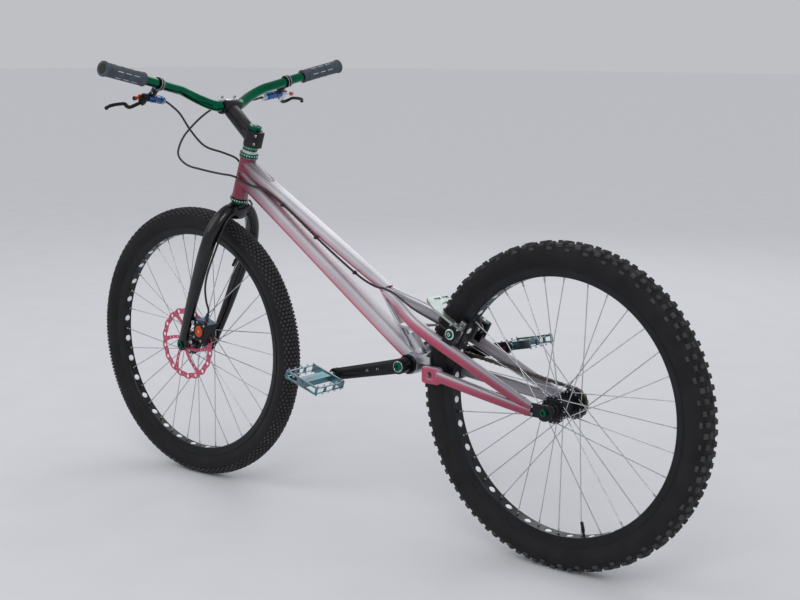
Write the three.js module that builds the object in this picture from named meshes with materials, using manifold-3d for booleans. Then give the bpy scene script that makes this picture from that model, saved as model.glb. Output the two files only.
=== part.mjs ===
// Trials bike: a seatless 26 inch bike with a rigid disc fork,
// a rim brake at the back and a front freewheel.
// X runs forward, Y to the rider's left and Z up. Every length is in millimetres.
import * as THREE from 'three';
import { mergeVertices } from 'three/addons/utils/BufferGeometryUtils.js';
import Module from 'manifold-3d';

const wasm = await Module();
wasm.setup();

const degree = Math.PI / 180;
const half = 1 / 2;
const fullTurn = 2 * Math.PI;

// Clearances shared by all pieces
const seatGap = 0.3;
const runningGap = 0.4;
const overrun = 6;
const meshTolerance = 0.03;
const pinSides = 8;

// Layout
const wheelbase = 1078;
const bracketForward = 372;
const bracketHeight = 384;
const headAngle = 72 * degree;
const forkOffset = 31.3;
const forkLength = 388;

// Wheels
const frontTyreRadius = 336;
const frontTyreWidth = 52;
const rearTyreRadius = 341;
const rearTyreWidth = 64;
const tyreSegments = 32;
const tyreCrown = 7;
const tyreSidewall = 3;
const beadWidth = 4;
const beadRadius = 280;
const rimRadius = 286;
const rimBedRadius = 269;
const rimBedThickness = 2.2;
const rimBedWidth = 17;
const rimWall = 2;
const frontRimWidth = 34;
const rearRimWidth = 42;
const rimHoleRadius = 7.6;
const rimHoleSides = 6;
const stripThickness = 0.9;
const spokeCount = 32;
const spokeRadius = 1.1;
const spokeSides = 3;
const spokeRimOffset = 2.5;
const spokeCrossings = 3;
const spokeHoleInset = 3;

// Front hub, axle and rotor
const frontDropoutSpan = 100;
const frontHubEnd = 49;
const frontHubCore = 13;
const frontHubEndRadius = 12;
const frontLeftFlange = 22;
const frontRightFlange = -33;
const flangeRadius = 29;
const flangeThickness = 3.2;
const hubSides = 12;
const frontAxleRadius = 8;
const axleTipRadius = 5;
const axleHeadRadius = 8;
const axleHeadThickness = 6;
const rotorPlane = 38;
const rotorRadius = 90;
const rotorThickness = 1.8;
const rotorRingWidth = 15;
const rotorWave = 2.4;
const rotorWaves = 16;
const rotorArms = 6;
const rotorHubRadius = 22;
const rotorArmWidth = 7;

// Rear hub, axle and sprocket
const rearDropoutSpan = 112;
const rearHubEnd = 55;
const rearHubCore = 15;
const rearHubEndRadius = 13;
const rearLeftFlange = 31;
const rearRightFlange = -29;
const rearAxleRadius = 8;
const chainLine = 43.5;
const chainPitch = 12.7;
const rearTeeth = 15;
const frontTeeth = 18;
const toothHeight = 3;
const sprocketThickness = 2.4;
const sprocketBossThickness = 7;
const freewheelWall = 12;

// Chain
const chainPlateGap = sprocketThickness + 2 * seatGap;
const chainPlateThickness = 2.3;
const chainHeight = 8;
const chainWebHeight = 4;
const chainWebStart = 24;
const chainArcSteps = 8;

// Head tube, headset and steerer
const headTubeLength = 102;
const headTubeRadius = 19;
const headTubeBore = 17;
const cupRadius = 22.5;
const cupHeight = 12;
const cupFlangeHeight = 7;
const cupSkirt = 9;
const cupWaist = 18.5;
const upperCoverHeight = 18;
const steererRadius = 14.3;
const steererBore = 11.5;
const roundSides = 16;

// Fork
const forkLegSpread = 75;
const forkCrownSpread = 15;
const forkLegDepth = 37;
const forkLegWidth = 28;
const forkLegCrownDrop = 14;
const forkDropoutThickness = 8;
const forkDropoutRadius = 15;
const forkSections = 10;
const crownDepth = 38;
const crownWidth = 62;
const crownHeight = 38;
const mountTabSpacing = 51;
const mountTabReach = 36;
const mountTabLean = 7;
const mountTabThickness = 7;
const mountTabHalfHeight = 10;
const mountBoltRadius = 3;

// Front caliper and pads
const caliperBack = 53;
const caliperLength = 38;
const caliperHeight = 50;
const caliperInner = 25;
const caliperOuter = 62;
const caliperSlot = 4.6;
const caliperCapRadius = 13.5;
const banjoRadius = 4.5;
const banjoHeight = 21;
const banjoInset = 14;
const banjoBack = 3.3;
const caliperCapInset = 2;
const caliperRaise = 11;
const padLength = 26;
const padHeight = 24;
const discPadThickness = 5;
const discPadGap = 0.5;

// Stem, face plate and top cap
const stemClampHeight = 39;
const stemClampRadius = 19.5;
const stemReach = 98;
const stemRise = 42.6;
const stemBodyWidth = 35;
const stemBodyHeight = 32;
const barClampRadius = 12.7;
const barClampWidth = 50;
const barClampOuter = 18.5;
const facePlateSplit = 1;
const facePlateBoltInset = 9;
const facePlateBoltRadius = 4;
const facePlateBoltLength = 9;
const topCapRadius = 16;
const topCapHeight = 9;
const topCapBoltRadius = 5;
const topCapBoltHeight = 2.5;

// Handlebar and grips
const barHalfWidth = 379;
const barRise = 88.4;
const barSweep = 26;
const barTubeRadius = 11.1;
const barSides = 10;
const gripLength = 119;
const gripStart = barHalfWidth - gripLength;
const gripRadius = 15.6;
const gripFlangeRadius = 17.5;
const gripFlangeWidth = 5;
const gripEndWall = 4;

// Brake controls
const controlSpread = 209;
const controlPitch = 63 * degree;
const clampBandRadius = 15;
const clampBandWidth = 13;
const cylinderRadius = 9.5;
const cylinderReach = 55;
const cylinderNear = 43;
const cylinderInboard = 45;
const cylinderOutboard = 9;
const neckWidth = 11;
const neckThickness = 12;
const leverPivotReach = 57;
const leverPivotOut = 17;
const leverHubRadius = 5.2;
const leverHubHeight = 8;
const leverEarThickness = 3;
const leverPinRadius = 2;
const leverSpan = 93;
const leverDrop = 18;
const leverBladeHeight = 10;
const leverBladeThickness = 7;
const adjusterOut = 47;
const adjusterRadius = 5;
const adjusterLength = 7;
const adjusterRodRadius = 1.6;

// Main tubes
const topTubeHeadShare = 0.81;
const downTubeHeadShare = 0.54;
const junctionForward = 90;
const junctionRise = 150.5;
const topTubeWidth = 38;
const topTubeHeight = 25;
const downTubeWidth = 41;
const downTubeHeight = 35;
const tubeSides = 12;
const gussetLength = 88;
const gussetWidth = 20;
const gussetThickness = 14;
const gussetRise = 7;
const tubeSquareness = 3.2;
const seatTubeAngle = 55.5 * degree;
const seatTubeWidth = 24;
const seatTubeDepth = 9.5;
const braceRise = 74;
const braceThickness = 5;
const braceRun = 62;
const braceHalfWidth = 42;

// Bottom bracket
const bracketShellWidth = 73;
const bracketShellRadius = 23.5;
const bracketBore = 17;
const bracketSides = 16;
const yokeThickness = 16;
const yokeTop = 21.5;
const yokeArmSpread = 38.5;
const yokeArmWall = 5.5;
const yokeReach = 58;
const yokeNose = 22;
const tyreClearance = 7;
const postSetback = 20.5;
const postRadius = 12.4;
const postLength = 40;
const postFlangeRadius = 15;
const postFlangeHeight = 2.5;
const bracketCupRadius = 21.5;
const bracketCupFlange = 7;
const bracketCupThinFlange = 1.6;
const bracketCupDepth = 12;
const crankAxleRadius = 11;

// Stays and dropouts
const stayRootSpread = 9.5;
const stayEndSpread = 58.5;
const stayEndForward = 36;
const seatStayEndRise = 5;
const chainStayEndDrop = 5;
const stayBow = 6.5;
const seatStayWidth = 20;
const seatStayHeight = 29;
const chainStayWidth = 19;
const chainStayHeight = 25;
const staySections = 12;
const staySquareness = 2.8;
const blockFront = 327;
const blockLength = 42;
const blockInner = 37.5;
const blockWidth = 12;
const blockDrop = 14;
const blockHeight = 37;
const slotLength = 15;
const slotWidth = 10.5;
const dropoutThickness = 6;
const dropoutRadius = 15;
const dropoutReach = 52;
const dropoutFrontHeight = 28;
const tugThickness = 3;
const tugRadius = 13;
const tugSpiral = 8;
const tugSteps = 14;

// Cranks and pedals
const crankLength = 175;
const crankAngle = -13 * degree;
const crankBossRadius = 17;
const crankBossInner = 45;
const crankBossChainSide = 39;
const crankBossOuter = 75;
const crankArmWidth = 33;
const crankArmThickness = 15;
const crankEyeRadius = 14;
const crankEyeInner = 78;
const crankEyeOuter = 91;
const crankFluteWidth = 9;
const crankFluteDepth = 3;
const crankBoltRadius = 9;
const crankBoltHeight = 3;
const pedalInner = 108;
const pedalWidth = 90;
const pedalLength = 94;
const pedalHeight = 18;
const pedalWall = 4;
const pedalBarrelRadius = 9.5;
const pedalSpindleRadius = 5;
const pedalCollarRadius = 8;
const pedalPitch = 16.5 * degree;
const rightPedalPitch = -13 * degree;
const pedalWindowHeight = 11;
const pedalRibWidth = 5;
const pedalRingRadius = 7.5;

// Rear rim brake
const rimBrakeAboveStay = 5.27 * degree;
const rimBrakeRadius = 274;
const slaveRadius = 12.5;
const slaveInner = 37;
const slaveOuter = 64;
const slaveBore = 8.3;
const saddleLength = 26;
const saddleWidth = 16;
const saddleInner = 46;
const saddleDepth = 33;
const slaveBlockTop = 15.7;
const rimPadGap = 1.8;
const rimPadThickness = 8;
const rimPadLength = 50;
const rimPadHeight = 12;
const rimPistonRadius = 7.9;
const rimPistonLength = 15;
const boosterThickness = 5;
const boosterHalfWidth = 55;
const boosterLegWidth = 14;
const boosterFoot = 11;
const boosterTop = 102;
const boosterArch = 78;
const boosterShoulder = 18;
const boosterWindowHeight = 7;
const boosterWindowLength = 20;

// Hoses
const hoseRadius = 2.5;
const hoseSides = 8;
const hoseMostSteps = 50;

const colours = {
  frame: 0xc9c3c8, frameRose: 0xd98a9a, machined: 0xd5d6d6, green: 0x12875f, black: 0x15161a,
  rubber: 0x1b1a1c, rim: 0x141417, strip: 0xe9eef5, steel: 0xb9bcc0, rotor: 0xd9607c,
  stem: 0x2a2729, pedal: 0x8fb7bb, booster: 0xc4d3cb, blue: 0x4d7fb5, hose: 0x1a1716, pad: 0x3a3a3d,
};

function finish(colour, roughness, metalness) {
  return new THREE.MeshStandardMaterial({ color: colour, roughness, metalness });
}

const finishes = {
  frame: finish(colours.frame, 0.38, 0.4),
  frameRose: finish(colours.frameRose, 0.4, 0.4),
  machined: finish(colours.machined, 0.3, 0.95),
  green: finish(colours.green, 0.25, 0.9),
  black: finish(colours.black, 0.35, 0.5),
  rubber: finish(colours.rubber, 0.85, 0),
  rim: finish(colours.rim, 0.4, 0.5),
  strip: finish(colours.strip, 0.6, 0),
  steel: finish(colours.steel, 0.3, 1),
  rotor: finish(colours.rotor, 0.4, 0.7),
  stem: finish(colours.stem, 0.45, 0.6),
  pedal: finish(colours.pedal, 0.3, 0.85),
  booster: finish(colours.booster, 0.3, 0.9),
  blue: finish(colours.blue, 0.3, 0.8),
  hose: finish(colours.hose, 0.6, 0),
  pad: finish(colours.pad, 0.8, 0),
};

// Closed meshes and boolean work

function indexed(geometry) {
  const bare = geometry.clone();
  for (const name of Object.keys(bare.attributes)) {
    if (name !== 'position') bare.deleteAttribute(name);
  }
  const merged = mergeVertices(bare);
  const order = [];
  const source = merged.index.array;
  for (let i = 0; i < source.length; i += 3) {
    const [a, b, c] = [source[i], source[i + 1], source[i + 2]];
    if (a !== b && b !== c && c !== a) order.push(a, b, c);
  }
  merged.setIndex(order);
  if (signedVolume(merged) < 0) flip(merged);
  return merged;
}

function signedVolume(geometry) {
  const place = geometry.attributes.position;
  const order = geometry.index.array;
  const [a, b, c] = [new THREE.Vector3(), new THREE.Vector3(), new THREE.Vector3()];
  let sum = 0;
  for (let i = 0; i < order.length; i += 3) {
    a.fromBufferAttribute(place, order[i]);
    b.fromBufferAttribute(place, order[i + 1]);
    c.fromBufferAttribute(place, order[i + 2]);
    sum += a.dot(b.cross(c));
  }
  return sum;
}

function flip(geometry) {
  const order = geometry.index.array;
  for (let i = 0; i < order.length; i += 3) {
    [order[i + 1], order[i + 2]] = [order[i + 2], order[i + 1]];
  }
}

function toSolid(geometry) {
  const closed = indexed(geometry);
  return new wasm.Manifold(new wasm.Mesh({
    numProp: 3,
    vertProperties: new Float32Array(closed.attributes.position.array),
    triVerts: new Uint32Array(closed.index.array),
  }));
}

function toGeometry(solid) {
  const mesh = solid.getMesh();
  const geometry = new THREE.BufferGeometry();
  geometry.setAttribute('position', new THREE.BufferAttribute(new Float32Array(mesh.vertProperties), 3));
  geometry.setIndex(new THREE.BufferAttribute(new Uint32Array(mesh.triVerts), 1));
  return geometry;
}

function join(...geometries) {
  let solid = toSolid(geometries[0]);
  for (const geometry of geometries.slice(1)) solid = solid.add(toSolid(geometry));
  return toGeometry(solid);
}

function cut(geometry, ...tools) {
  let solid = toSolid(geometry);
  for (const tool of tools) solid = solid.subtract(toSolid(tool));
  return toGeometry(solid);
}

function common(first, second) {
  return toGeometry(toSolid(first).intersect(toSolid(second)));
}

function mirrored(geometry) {
  return indexed(geometry.clone().scale(1, -1, 1));
}

// Basic shapes

function vec(x, y, z) {
  return new THREE.Vector3(x, y, z);
}

function rod(from, to, radius, sides = roundSides, farRadius = radius) {
  const run = to.clone().sub(from);
  const shape = new THREE.CylinderGeometry(farRadius, radius, run.length(), sides);
  const turn = new THREE.Quaternion().setFromUnitVectors(vec(0, 1, 0), run.clone().normalize());
  const middle = from.clone().add(to).multiplyScalar(half);
  return shape.applyQuaternion(turn).translate(middle.x, middle.y, middle.z);
}

// Radius of a many-sided bore that clears a round shaft of the given radius
function clearBore(radius, sides) {
  return (radius + seatGap) / Math.cos(Math.PI / sides);
}

function crossRod(x, z, fromY, toY, radius, sides = roundSides) {
  return rod(vec(x, fromY, z), vec(x, toY, z), radius, sides);
}

function box(lowX, highX, lowY, highY, lowZ, highZ) {
  const shape = new THREE.BoxGeometry(highX - lowX, highY - lowY, highZ - lowZ);
  return shape.translate((lowX + highX) * half, (lowY + highY) * half, (lowZ + highZ) * half);
}

// Turned ring about the Y axis from [radius, y] pairs that close on themselves
function ring(profile, segments) {
  const points = [...profile, profile[0]].map(([radius, y]) => new THREE.Vector2(radius, y));
  return new THREE.LatheGeometry(points, segments);
}

// Plate whose outline is drawn in X and Z and whose thickness runs along Y
function sidePlate(points, fromY, toY, holes = []) {
  const corners = points.map(([x, z]) => new THREE.Vector2(x, z));
  if (THREE.ShapeUtils.isClockWise(corners)) corners.reverse();
  const shape = new THREE.Shape(corners);
  for (const hole of holes) {
    shape.holes.push(new THREE.Path(hole.map(([x, z]) => new THREE.Vector2(x, z))));
  }
  const plate = new THREE.ExtrudeGeometry(shape, { depth: toY - fromY, bevelEnabled: false });
  return plate.rotateX(90 * degree).translate(0, toY, 0);
}

function circlePoints(x, z, radius, sides, squash = 1) {
  const points = [];
  for (let i = 0; i < sides; i += 1) {
    const angle = fullTurn * i / sides;
    points.push([x + radius * Math.cos(angle), z + radius * squash * Math.sin(angle)]);
  }
  return points;
}

// Tube of changing section: stations hold a centre, a width along Y and a height across it
function loft(stations, sides, squareness, grow = 0) {
  const positions = [];
  const order = [];
  const bulge = 2 / squareness;
  for (let i = 0; i < stations.length; i += 1) {
    const before = stations[Math.max(i - 1, 0)].at;
    const after = stations[Math.min(i + 1, stations.length - 1)].at;
    const along = after.clone().sub(before).normalize();
    const across = vec(0, 1, 0).addScaledVector(along, -along.y).normalize();
    if (Math.abs(along.y) > 0.9) across.set(0, 0, 1).addScaledVector(along, -along.z).normalize();
    const up = along.clone().cross(across);
    for (let j = 0; j < sides; j += 1) {
      const angle = fullTurn * (j + half) / sides;
      const [c, s] = [Math.cos(angle), Math.sin(angle)];
      const sideways = Math.sign(c) * Math.abs(c) ** bulge * (stations[i].width * half + grow);
      const upward = Math.sign(s) * Math.abs(s) ** bulge * (stations[i].height * half + grow);
      const point = stations[i].at.clone().addScaledVector(across, sideways).addScaledVector(up, upward);
      positions.push(point.x, point.y, point.z);
    }
  }
  for (let i = 0; i + 1 < stations.length; i += 1) {
    for (let j = 0; j < sides; j += 1) {
      const next = (j + 1) % sides;
      const [a, b, c, d] = [i * sides + j, i * sides + next, (i + 1) * sides + next, (i + 1) * sides + j];
      order.push(a, b, c, a, c, d);
    }
  }
  const last = (stations.length - 1) * sides;
  for (let j = 1; j + 1 < sides; j += 1) {
    order.push(0, j + 1, j, last, last + j, last + j + 1);
  }
  const geometry = new THREE.BufferGeometry();
  geometry.setAttribute('position', new THREE.Float32BufferAttribute(positions, 3));
  geometry.setIndex(order);
  return geometry;
}

function hose(points) {
  const path = new THREE.CatmullRomCurve3(points.map(([x, y, z]) => vec(x, y, z)), false, 'centripetal');
  const section = new THREE.Shape(circlePoints(0, 0, hoseRadius,
    hoseSides).map(([x, y]) => new THREE.Vector2(x, y)));
  const steps = Math.min(Math.round(path.getLength() / (6 * hoseRadius)), hoseMostSteps);
  return new THREE.ExtrudeGeometry(section, { steps, extrudePath: path, bevelEnabled: false });
}

// Groups: the whole bike, the steering, and the places that other pieces hang on

const bike = new THREE.Group();
bike.position.x = (rearTyreRadius - wheelbase - frontTyreRadius) * half;

const steeringUp = vec(-Math.cos(headAngle), 0, Math.sin(headAngle));
const steeringForward = vec(Math.sin(headAngle), 0, Math.cos(headAngle));
const headBase = vec(wheelbase, 0, frontTyreRadius)
  .addScaledVector(steeringUp, forkLength + cupHeight)
  .addScaledVector(steeringForward, -forkOffset);

const steering = new THREE.Group();
steering.position.copy(headBase);
steering.rotation.y = headAngle - 90 * degree;
bike.add(steering);

const frontWheel = new THREE.Group();
frontWheel.position.set(wheelbase, 0, frontTyreRadius);
const rearWheel = new THREE.Group();
rearWheel.position.set(0, 0, rearTyreRadius);
const cranks = new THREE.Group();
cranks.position.set(bracketForward, 0, bracketHeight);
const rimBrake = new THREE.Group();
rimBrake.position.copy(rearWheel.position);
const seatStayAngle = Math.atan2(
  bracketHeight + junctionRise - rearTyreRadius, bracketForward + junctionForward);
rimBrake.rotation.y = -seatStayAngle - rimBrakeAboveStay;
bike.add(frontWheel, rearWheel, cranks, rimBrake);

function add(name, geometry, material, parent = bike) {
  const mesh = new THREE.Mesh(toGeometry(toSolid(geometry).simplify(meshTolerance)), material);
  mesh.name = name;
  parent.add(mesh);
}

function inBike(geometry, group) {
  group.updateMatrix();
  return geometry.clone().applyMatrix4(group.matrix);
}

function inGroup(geometry, group) {
  group.updateMatrix();
  return geometry.clone().applyMatrix4(group.matrix.clone().invert());
}

const headPoint = (share) => headBase.clone().addScaledVector(steeringUp, headTubeLength * share);
const bracketPoint = vec(bracketForward, 0, bracketHeight);
const junction = vec(bracketForward + junctionForward, 0, bracketHeight + junctionRise);

// Wheels

const tyreOuterShares = [[0.38, 0.49], [0.78, 0.46], [1, 0.2]];
const tyreInnerShares = [[0.66, 0.4]];

function tyre(radius, width, rimWidth) {
  const depth = radius - rimRadius;
  const wallFoot = rimWidth * half - rimWall;
  const wallSlope = (wallFoot - rimBedWidth * half) / (rimRadius - rimBedRadius - rimBedThickness);
  const beadSide = wallFoot - seatGap - (rimRadius - beadRadius) * wallSlope;
  const side = [
    [beadRadius, beadSide], [rimRadius + seatGap, wallFoot - seatGap],
    ...tyreOuterShares.map(([up, out]) => [rimRadius + depth * up, width * out]),
  ];
  const inside = [
    [radius - tyreCrown, width * 0.1],
    ...tyreInnerShares.map(([up, out]) => [rimRadius + depth * up - tyreSidewall, width * out - seatGap]),
    [beadRadius, beadSide - beadWidth],
  ];
  const right = [...side, ...[...side].reverse().map(([r, y]) => [r, -y])];
  const inner = [...inside].reverse().map(([r, y]) => [r, -y]);
  return ring([...right, ...inner, ...inside], tyreSegments);
}

function rimProfile(width) {
  const bed = rimBedWidth * half;
  const side = [
    [rimBedRadius, bed + rimWall], [rimRadius, width * half], [rimRadius, width * half - rimWall],
    [rimBedRadius + rimBedThickness, bed],
  ];
  return [...side, ...[...side].reverse().map(([r, y]) => [r, -y])];
}

function rim(width) {
  const holes = [];
  const facet = rimBedRadius * Math.cos(Math.PI / spokeCount);
  for (let i = 0; i < spokeCount; i += 1) {
    const angle = fullTurn * (i + half) / spokeCount;
    const radial = vec(Math.sin(angle), 0, Math.cos(angle));
    const start = radial.clone().multiplyScalar(facet - overrun * half);
    const end = radial.clone().multiplyScalar(facet + overrun);
    holes.push(rod(start, end, rimHoleRadius, rimHoleSides));
  }
  return cut(ring(rimProfile(width), spokeCount), ...holes);
}

function rimStrip() {
  const low = rimBedRadius + rimBedThickness + seatGap;
  const high = low + stripThickness;
  const edge = rimBedWidth * half - seatGap;
  return ring([[low, edge], [high, edge], [high, -edge], [low, -edge]], spokeCount);
}

// Spokes: tangent laced, leading on one face of the flange and trailing on the other
function spokes(flanges) {
  const rods = [];
  const pairStep = 2 * fullTurn / spokeCount;
  for (let i = 0; i < spokeCount; i += 1) {
    const side = i % 2;
    const leading = i % 4 < 2 ? 1 : -1;
    const rimTurn = fullTurn * i / spokeCount;
    const hubTurn = rimTurn + leading * spokeCrossings * pairStep;
    const flangeY = flanges[side] + leading * (flangeThickness * half + spokeRadius * half);
    const rimY = Math.sign(flanges[side]) * spokeRimOffset;
    const reach = rimBedRadius - 3 * seatGap;
    const holeRadius = flangeRadius - spokeHoleInset;
    rods.push(rod(
      vec(Math.sin(hubTurn) * holeRadius, flangeY, Math.cos(hubTurn) * holeRadius),
      vec(Math.sin(rimTurn) * reach, rimY, Math.cos(rimTurn) * reach), spokeRadius, spokeSides,
    ));
  }
  return rods;
}

function hub(flanges, core, endRadius, leftEnd, rightEnd, bore) {
  const thick = flangeThickness * half;
  const profile = [
    [bore, leftEnd], [endRadius, leftEnd], [endRadius, flanges[0] + 2 * thick],
      [flangeRadius, flanges[0] + thick],
    [flangeRadius, flanges[0] - thick], [core, flanges[0] - 3 * thick], [core, flanges[1] + 3 * thick],
    [flangeRadius, flanges[1] + thick], [flangeRadius, flanges[1] - thick],
      [endRadius, flanges[1] - 2 * thick],
    [endRadius, rightEnd], [bore, rightEnd],
  ];
  return join(ring(profile, hubSides), ...spokes(flanges));
}

function axle(span, coreRadius, plates) {
  const outer = span * half + plates + seatGap;
  const shoulder = span * half - seatGap;
  const profile = [
    [0, -outer - axleHeadThickness], [axleHeadRadius, -outer - axleHeadThickness], [axleHeadRadius, -outer],
    [axleTipRadius, -outer], [axleTipRadius, -shoulder], [coreRadius, -shoulder],
    [coreRadius, shoulder], [axleTipRadius, shoulder], [axleTipRadius, outer],
    [axleHeadRadius, outer], [axleHeadRadius, outer + axleHeadThickness], [0, outer + axleHeadThickness],
  ];
  return new THREE.LatheGeometry(profile.map(([r, y]) => new THREE.Vector2(r, y)), hubSides);
}

function rotor() {
  const outline = [];
  const wavePoints = 3 * rotorWaves;
  for (let i = 0; i < wavePoints; i += 1) {
    const angle = fullTurn * i / wavePoints;
    const radius = rotorRadius - rotorWave * (i % 3 === 0 ? 1 : 0);
    outline.push([radius * Math.sin(angle), radius * Math.cos(angle)]);
  }
  const bore = frontHubEndRadius + seatGap;
  const windows = [circlePoints(0, 0, bore, hubSides)];
  const ringInner = rotorRadius - rotorRingWidth;
  const armStep = fullTurn / rotorArms;
  const windowSteps = 4;
  for (let i = 0; i < rotorArms; i += 1) {
    const window = [];
    const edges = [[ringInner, 1], [rotorHubRadius, -1]];
    for (const [radius, way] of edges) {
      const margin = rotorArmWidth / radius;
      for (let j = 0; j <= windowSteps; j += 1) {
        const share = way > 0 ? j / windowSteps : 1 - j / windowSteps;
        const sweep = radius === rotorHubRadius ? armStep * half : 0;
        const angle = i * armStep + margin * half + (armStep - margin) * share + sweep;
        window.push([radius * Math.sin(angle), radius * Math.cos(angle)]);
      }
    }
    windows.push(window);
  }
  return sidePlate(outline, rotorPlane - rotorThickness * half, rotorPlane + rotorThickness * half,
    windows);
}

function sprocketOutline(teeth) {
  const pitchRadius = chainPitch / (2 * Math.sin(Math.PI / teeth));
  const points = [];
  for (let i = 0; i < teeth; i += 1) {
    for (const [share, rise] of [[0.3, -1], [0.44, 1], [0.56, 1], [0.7, -1]]) {
      const angle = fullTurn * (i + share) / teeth;
      const radius = pitchRadius + toothHeight * rise;
      points.push([radius * Math.sin(angle), radius * Math.cos(angle)]);
    }
  }
  return points;
}

function sprocket(teeth, bore, bossRadius) {
  const plate = sidePlate(sprocketOutline(teeth), -chainLine - sprocketThickness * half,
    -chainLine + sprocketThickness * half);
  const boss = crossRod(0, 0, -chainLine - sprocketBossThickness * half,
    -chainLine + sprocketBossThickness * half, bossRadius);
  return cut(join(plate, boss), crossRod(0, 0, -chainLine - overrun, -chainLine + overrun, bore));
}

const frontFlanges = [frontLeftFlange, frontRightFlange];
const frontBore = frontAxleRadius + runningGap;
const rotorSeat = rotorPlane - rotorThickness * half - seatGap;
add('front_tyre', tyre(frontTyreRadius, frontTyreWidth, frontRimWidth), finishes.rubber, frontWheel);
add('front_rim', rim(frontRimWidth), finishes.rim, frontWheel);
add('front_rim_strip', rimStrip(), finishes.strip, frontWheel);
const rotorBoss = ring([[frontHubCore, frontLeftFlange], [rotorHubRadius, rotorSeat - flangeThickness],
  [rotorHubRadius, rotorSeat], [frontHubCore, rotorSeat]], hubSides);
const frontHubBody = hub(frontFlanges, frontHubCore, frontHubEndRadius, frontHubEnd, -frontHubEnd,
  frontBore);
const hubSleeve = ring([[frontBore, frontLeftFlange], [frontHubCore + overrun, frontLeftFlange],
  [frontHubCore + overrun, rotorSeat], [frontBore, rotorSeat]], hubSides);
add('front_hub', join(frontHubBody, rotorBoss, hubSleeve), finishes.black, frontWheel);
add('front_rotor', rotor(), finishes.rotor, frontWheel);
add('front_axle', axle(frontDropoutSpan, frontAxleRadius, forkDropoutThickness), finishes.green,
  frontWheel);

const rearFlanges = [rearLeftFlange, rearRightFlange];
const rearBore = rearAxleRadius + runningGap;
add('rear_tyre', tyre(rearTyreRadius, rearTyreWidth, rearRimWidth), finishes.rubber, rearWheel);
add('rear_rim', rim(rearRimWidth), finishes.rim, rearWheel);
add('rear_rim_strip', rimStrip(), finishes.strip, rearWheel);
add('rear_hub', hub(rearFlanges, rearHubCore, rearHubEndRadius, rearHubEnd, -rearHubEnd, rearBore),
  finishes.black, rearWheel);
const sprocketBossRadius = chainPitch / (2 * Math.sin(Math.PI / rearTeeth)) - chainHeight;
add('rear_sprocket', sprocket(rearTeeth, rearHubEndRadius + seatGap, sprocketBossRadius), finishes.steel,
  rearWheel);
const rearPlates = dropoutThickness + tugThickness + seatGap;
add('rear_axle', axle(rearDropoutSpan, rearAxleRadius, rearPlates), finishes.green, rearWheel);

// Chain: two rows of side plates round both sprockets, joined by a web along the straight runs

const frontPitchRadius = chainPitch / (2 * Math.sin(Math.PI / frontTeeth));
const rearPitchRadius = chainPitch / (2 * Math.sin(Math.PI / rearTeeth));
const chainRun = vec(bracketForward, 0, bracketHeight - rearTyreRadius);
const chainSlope = Math.atan2(chainRun.z, chainRun.x);
const chainLean = Math.asin((frontPitchRadius - rearPitchRadius) / chainRun.length());

function chainLoop(offset) {
  const points = [];
  for (let i = 0; i <= chainArcSteps; i += 1) {
    const angle = chainSlope + 90 * degree + chainLean - (Math.PI + 2 * chainLean) * i / chainArcSteps;
    const radius = frontPitchRadius + offset;
    points.push([bracketForward + radius * Math.cos(angle), bracketHeight + radius * Math.sin(angle)]);
  }
  for (let i = 0; i <= chainArcSteps; i += 1) {
    const angle = chainSlope - 90 * degree - chainLean - (Math.PI - 2 * chainLean) * i / chainArcSteps;
    const radius = rearPitchRadius + offset;
    points.push([radius * Math.cos(angle), rearTyreRadius + radius * Math.sin(angle)]);
  }
  return points;
}

function chainWeb(way) {
  const angle = chainSlope + way * (90 * degree + chainLean);
  const normal = vec(Math.cos(angle), 0, Math.sin(angle));
  const start = vec(0, 0, rearTyreRadius).addScaledVector(normal, rearPitchRadius);
  const end = vec(bracketForward, 0, bracketHeight).addScaledVector(normal, frontPitchRadius);
  const along = end.clone().sub(start).normalize();
  start.addScaledVector(along, chainWebStart);
  end.addScaledVector(along, -chainWebStart);
  const corners = [[start, 1], [end, 1], [end, -1], [start, -1]].map(([point, side]) => {
    const corner = point.clone().addScaledVector(normal, side * chainWebHeight * half);
    return [corner.x, corner.z];
  });
  const reach = chainPlateGap * half + seatGap;
  return sidePlate(corners, -chainLine - reach, -chainLine + reach);
}

const chainOuter = chainLoop(chainHeight * half);
const chainInner = chainLoop(-chainHeight * half);
const plateNear = chainPlateGap * half;
const plateFar = plateNear + chainPlateThickness;
add('chain', join(
  sidePlate(chainOuter, -chainLine + plateNear, -chainLine + plateFar, [chainInner]),
  sidePlate(chainOuter, -chainLine - plateFar, -chainLine - plateNear, [chainInner]),
  chainWeb(1), chainWeb(-1),
), finishes.steel);

// Head tube and headset, drawn along the steering axis

function turned(profile, sides = roundSides) {
  return ring(profile, sides).rotateX(90 * degree);
}

const boreGap = steererRadius + seatGap;
add('head_tube', turned([[headTubeBore, 0], [headTubeRadius, 0],
  [headTubeRadius, headTubeLength], [headTubeBore, headTubeLength]]), finishes.frameRose, steering);
const skirt = headTubeBore - seatGap;
add('lower_headset_cup', turned([
  [boreGap, -cupHeight + seatGap], [cupWaist, -cupHeight + seatGap], [cupWaist, -cupFlangeHeight],
  [cupRadius, -cupFlangeHeight], [cupRadius, -seatGap], [skirt, -seatGap],
  [skirt, cupSkirt], [boreGap, cupSkirt],
]), finishes.green, steering);
const upperStart = headTubeLength + seatGap;
const stemClampStart = upperStart + cupHeight + upperCoverHeight + seatGap;
add('upper_headset_cup', turned([
  [boreGap, headTubeLength - cupSkirt], [skirt, headTubeLength - cupSkirt], [skirt, upperStart],
    [cupRadius, upperStart],
  [cupRadius, upperStart + cupHeight], [cupWaist, upperStart + cupHeight],
  [cupWaist, upperStart + cupHeight + upperCoverHeight],
    [boreGap, upperStart + cupHeight + upperCoverHeight],
]), finishes.green, steering);

// Fork

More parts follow.
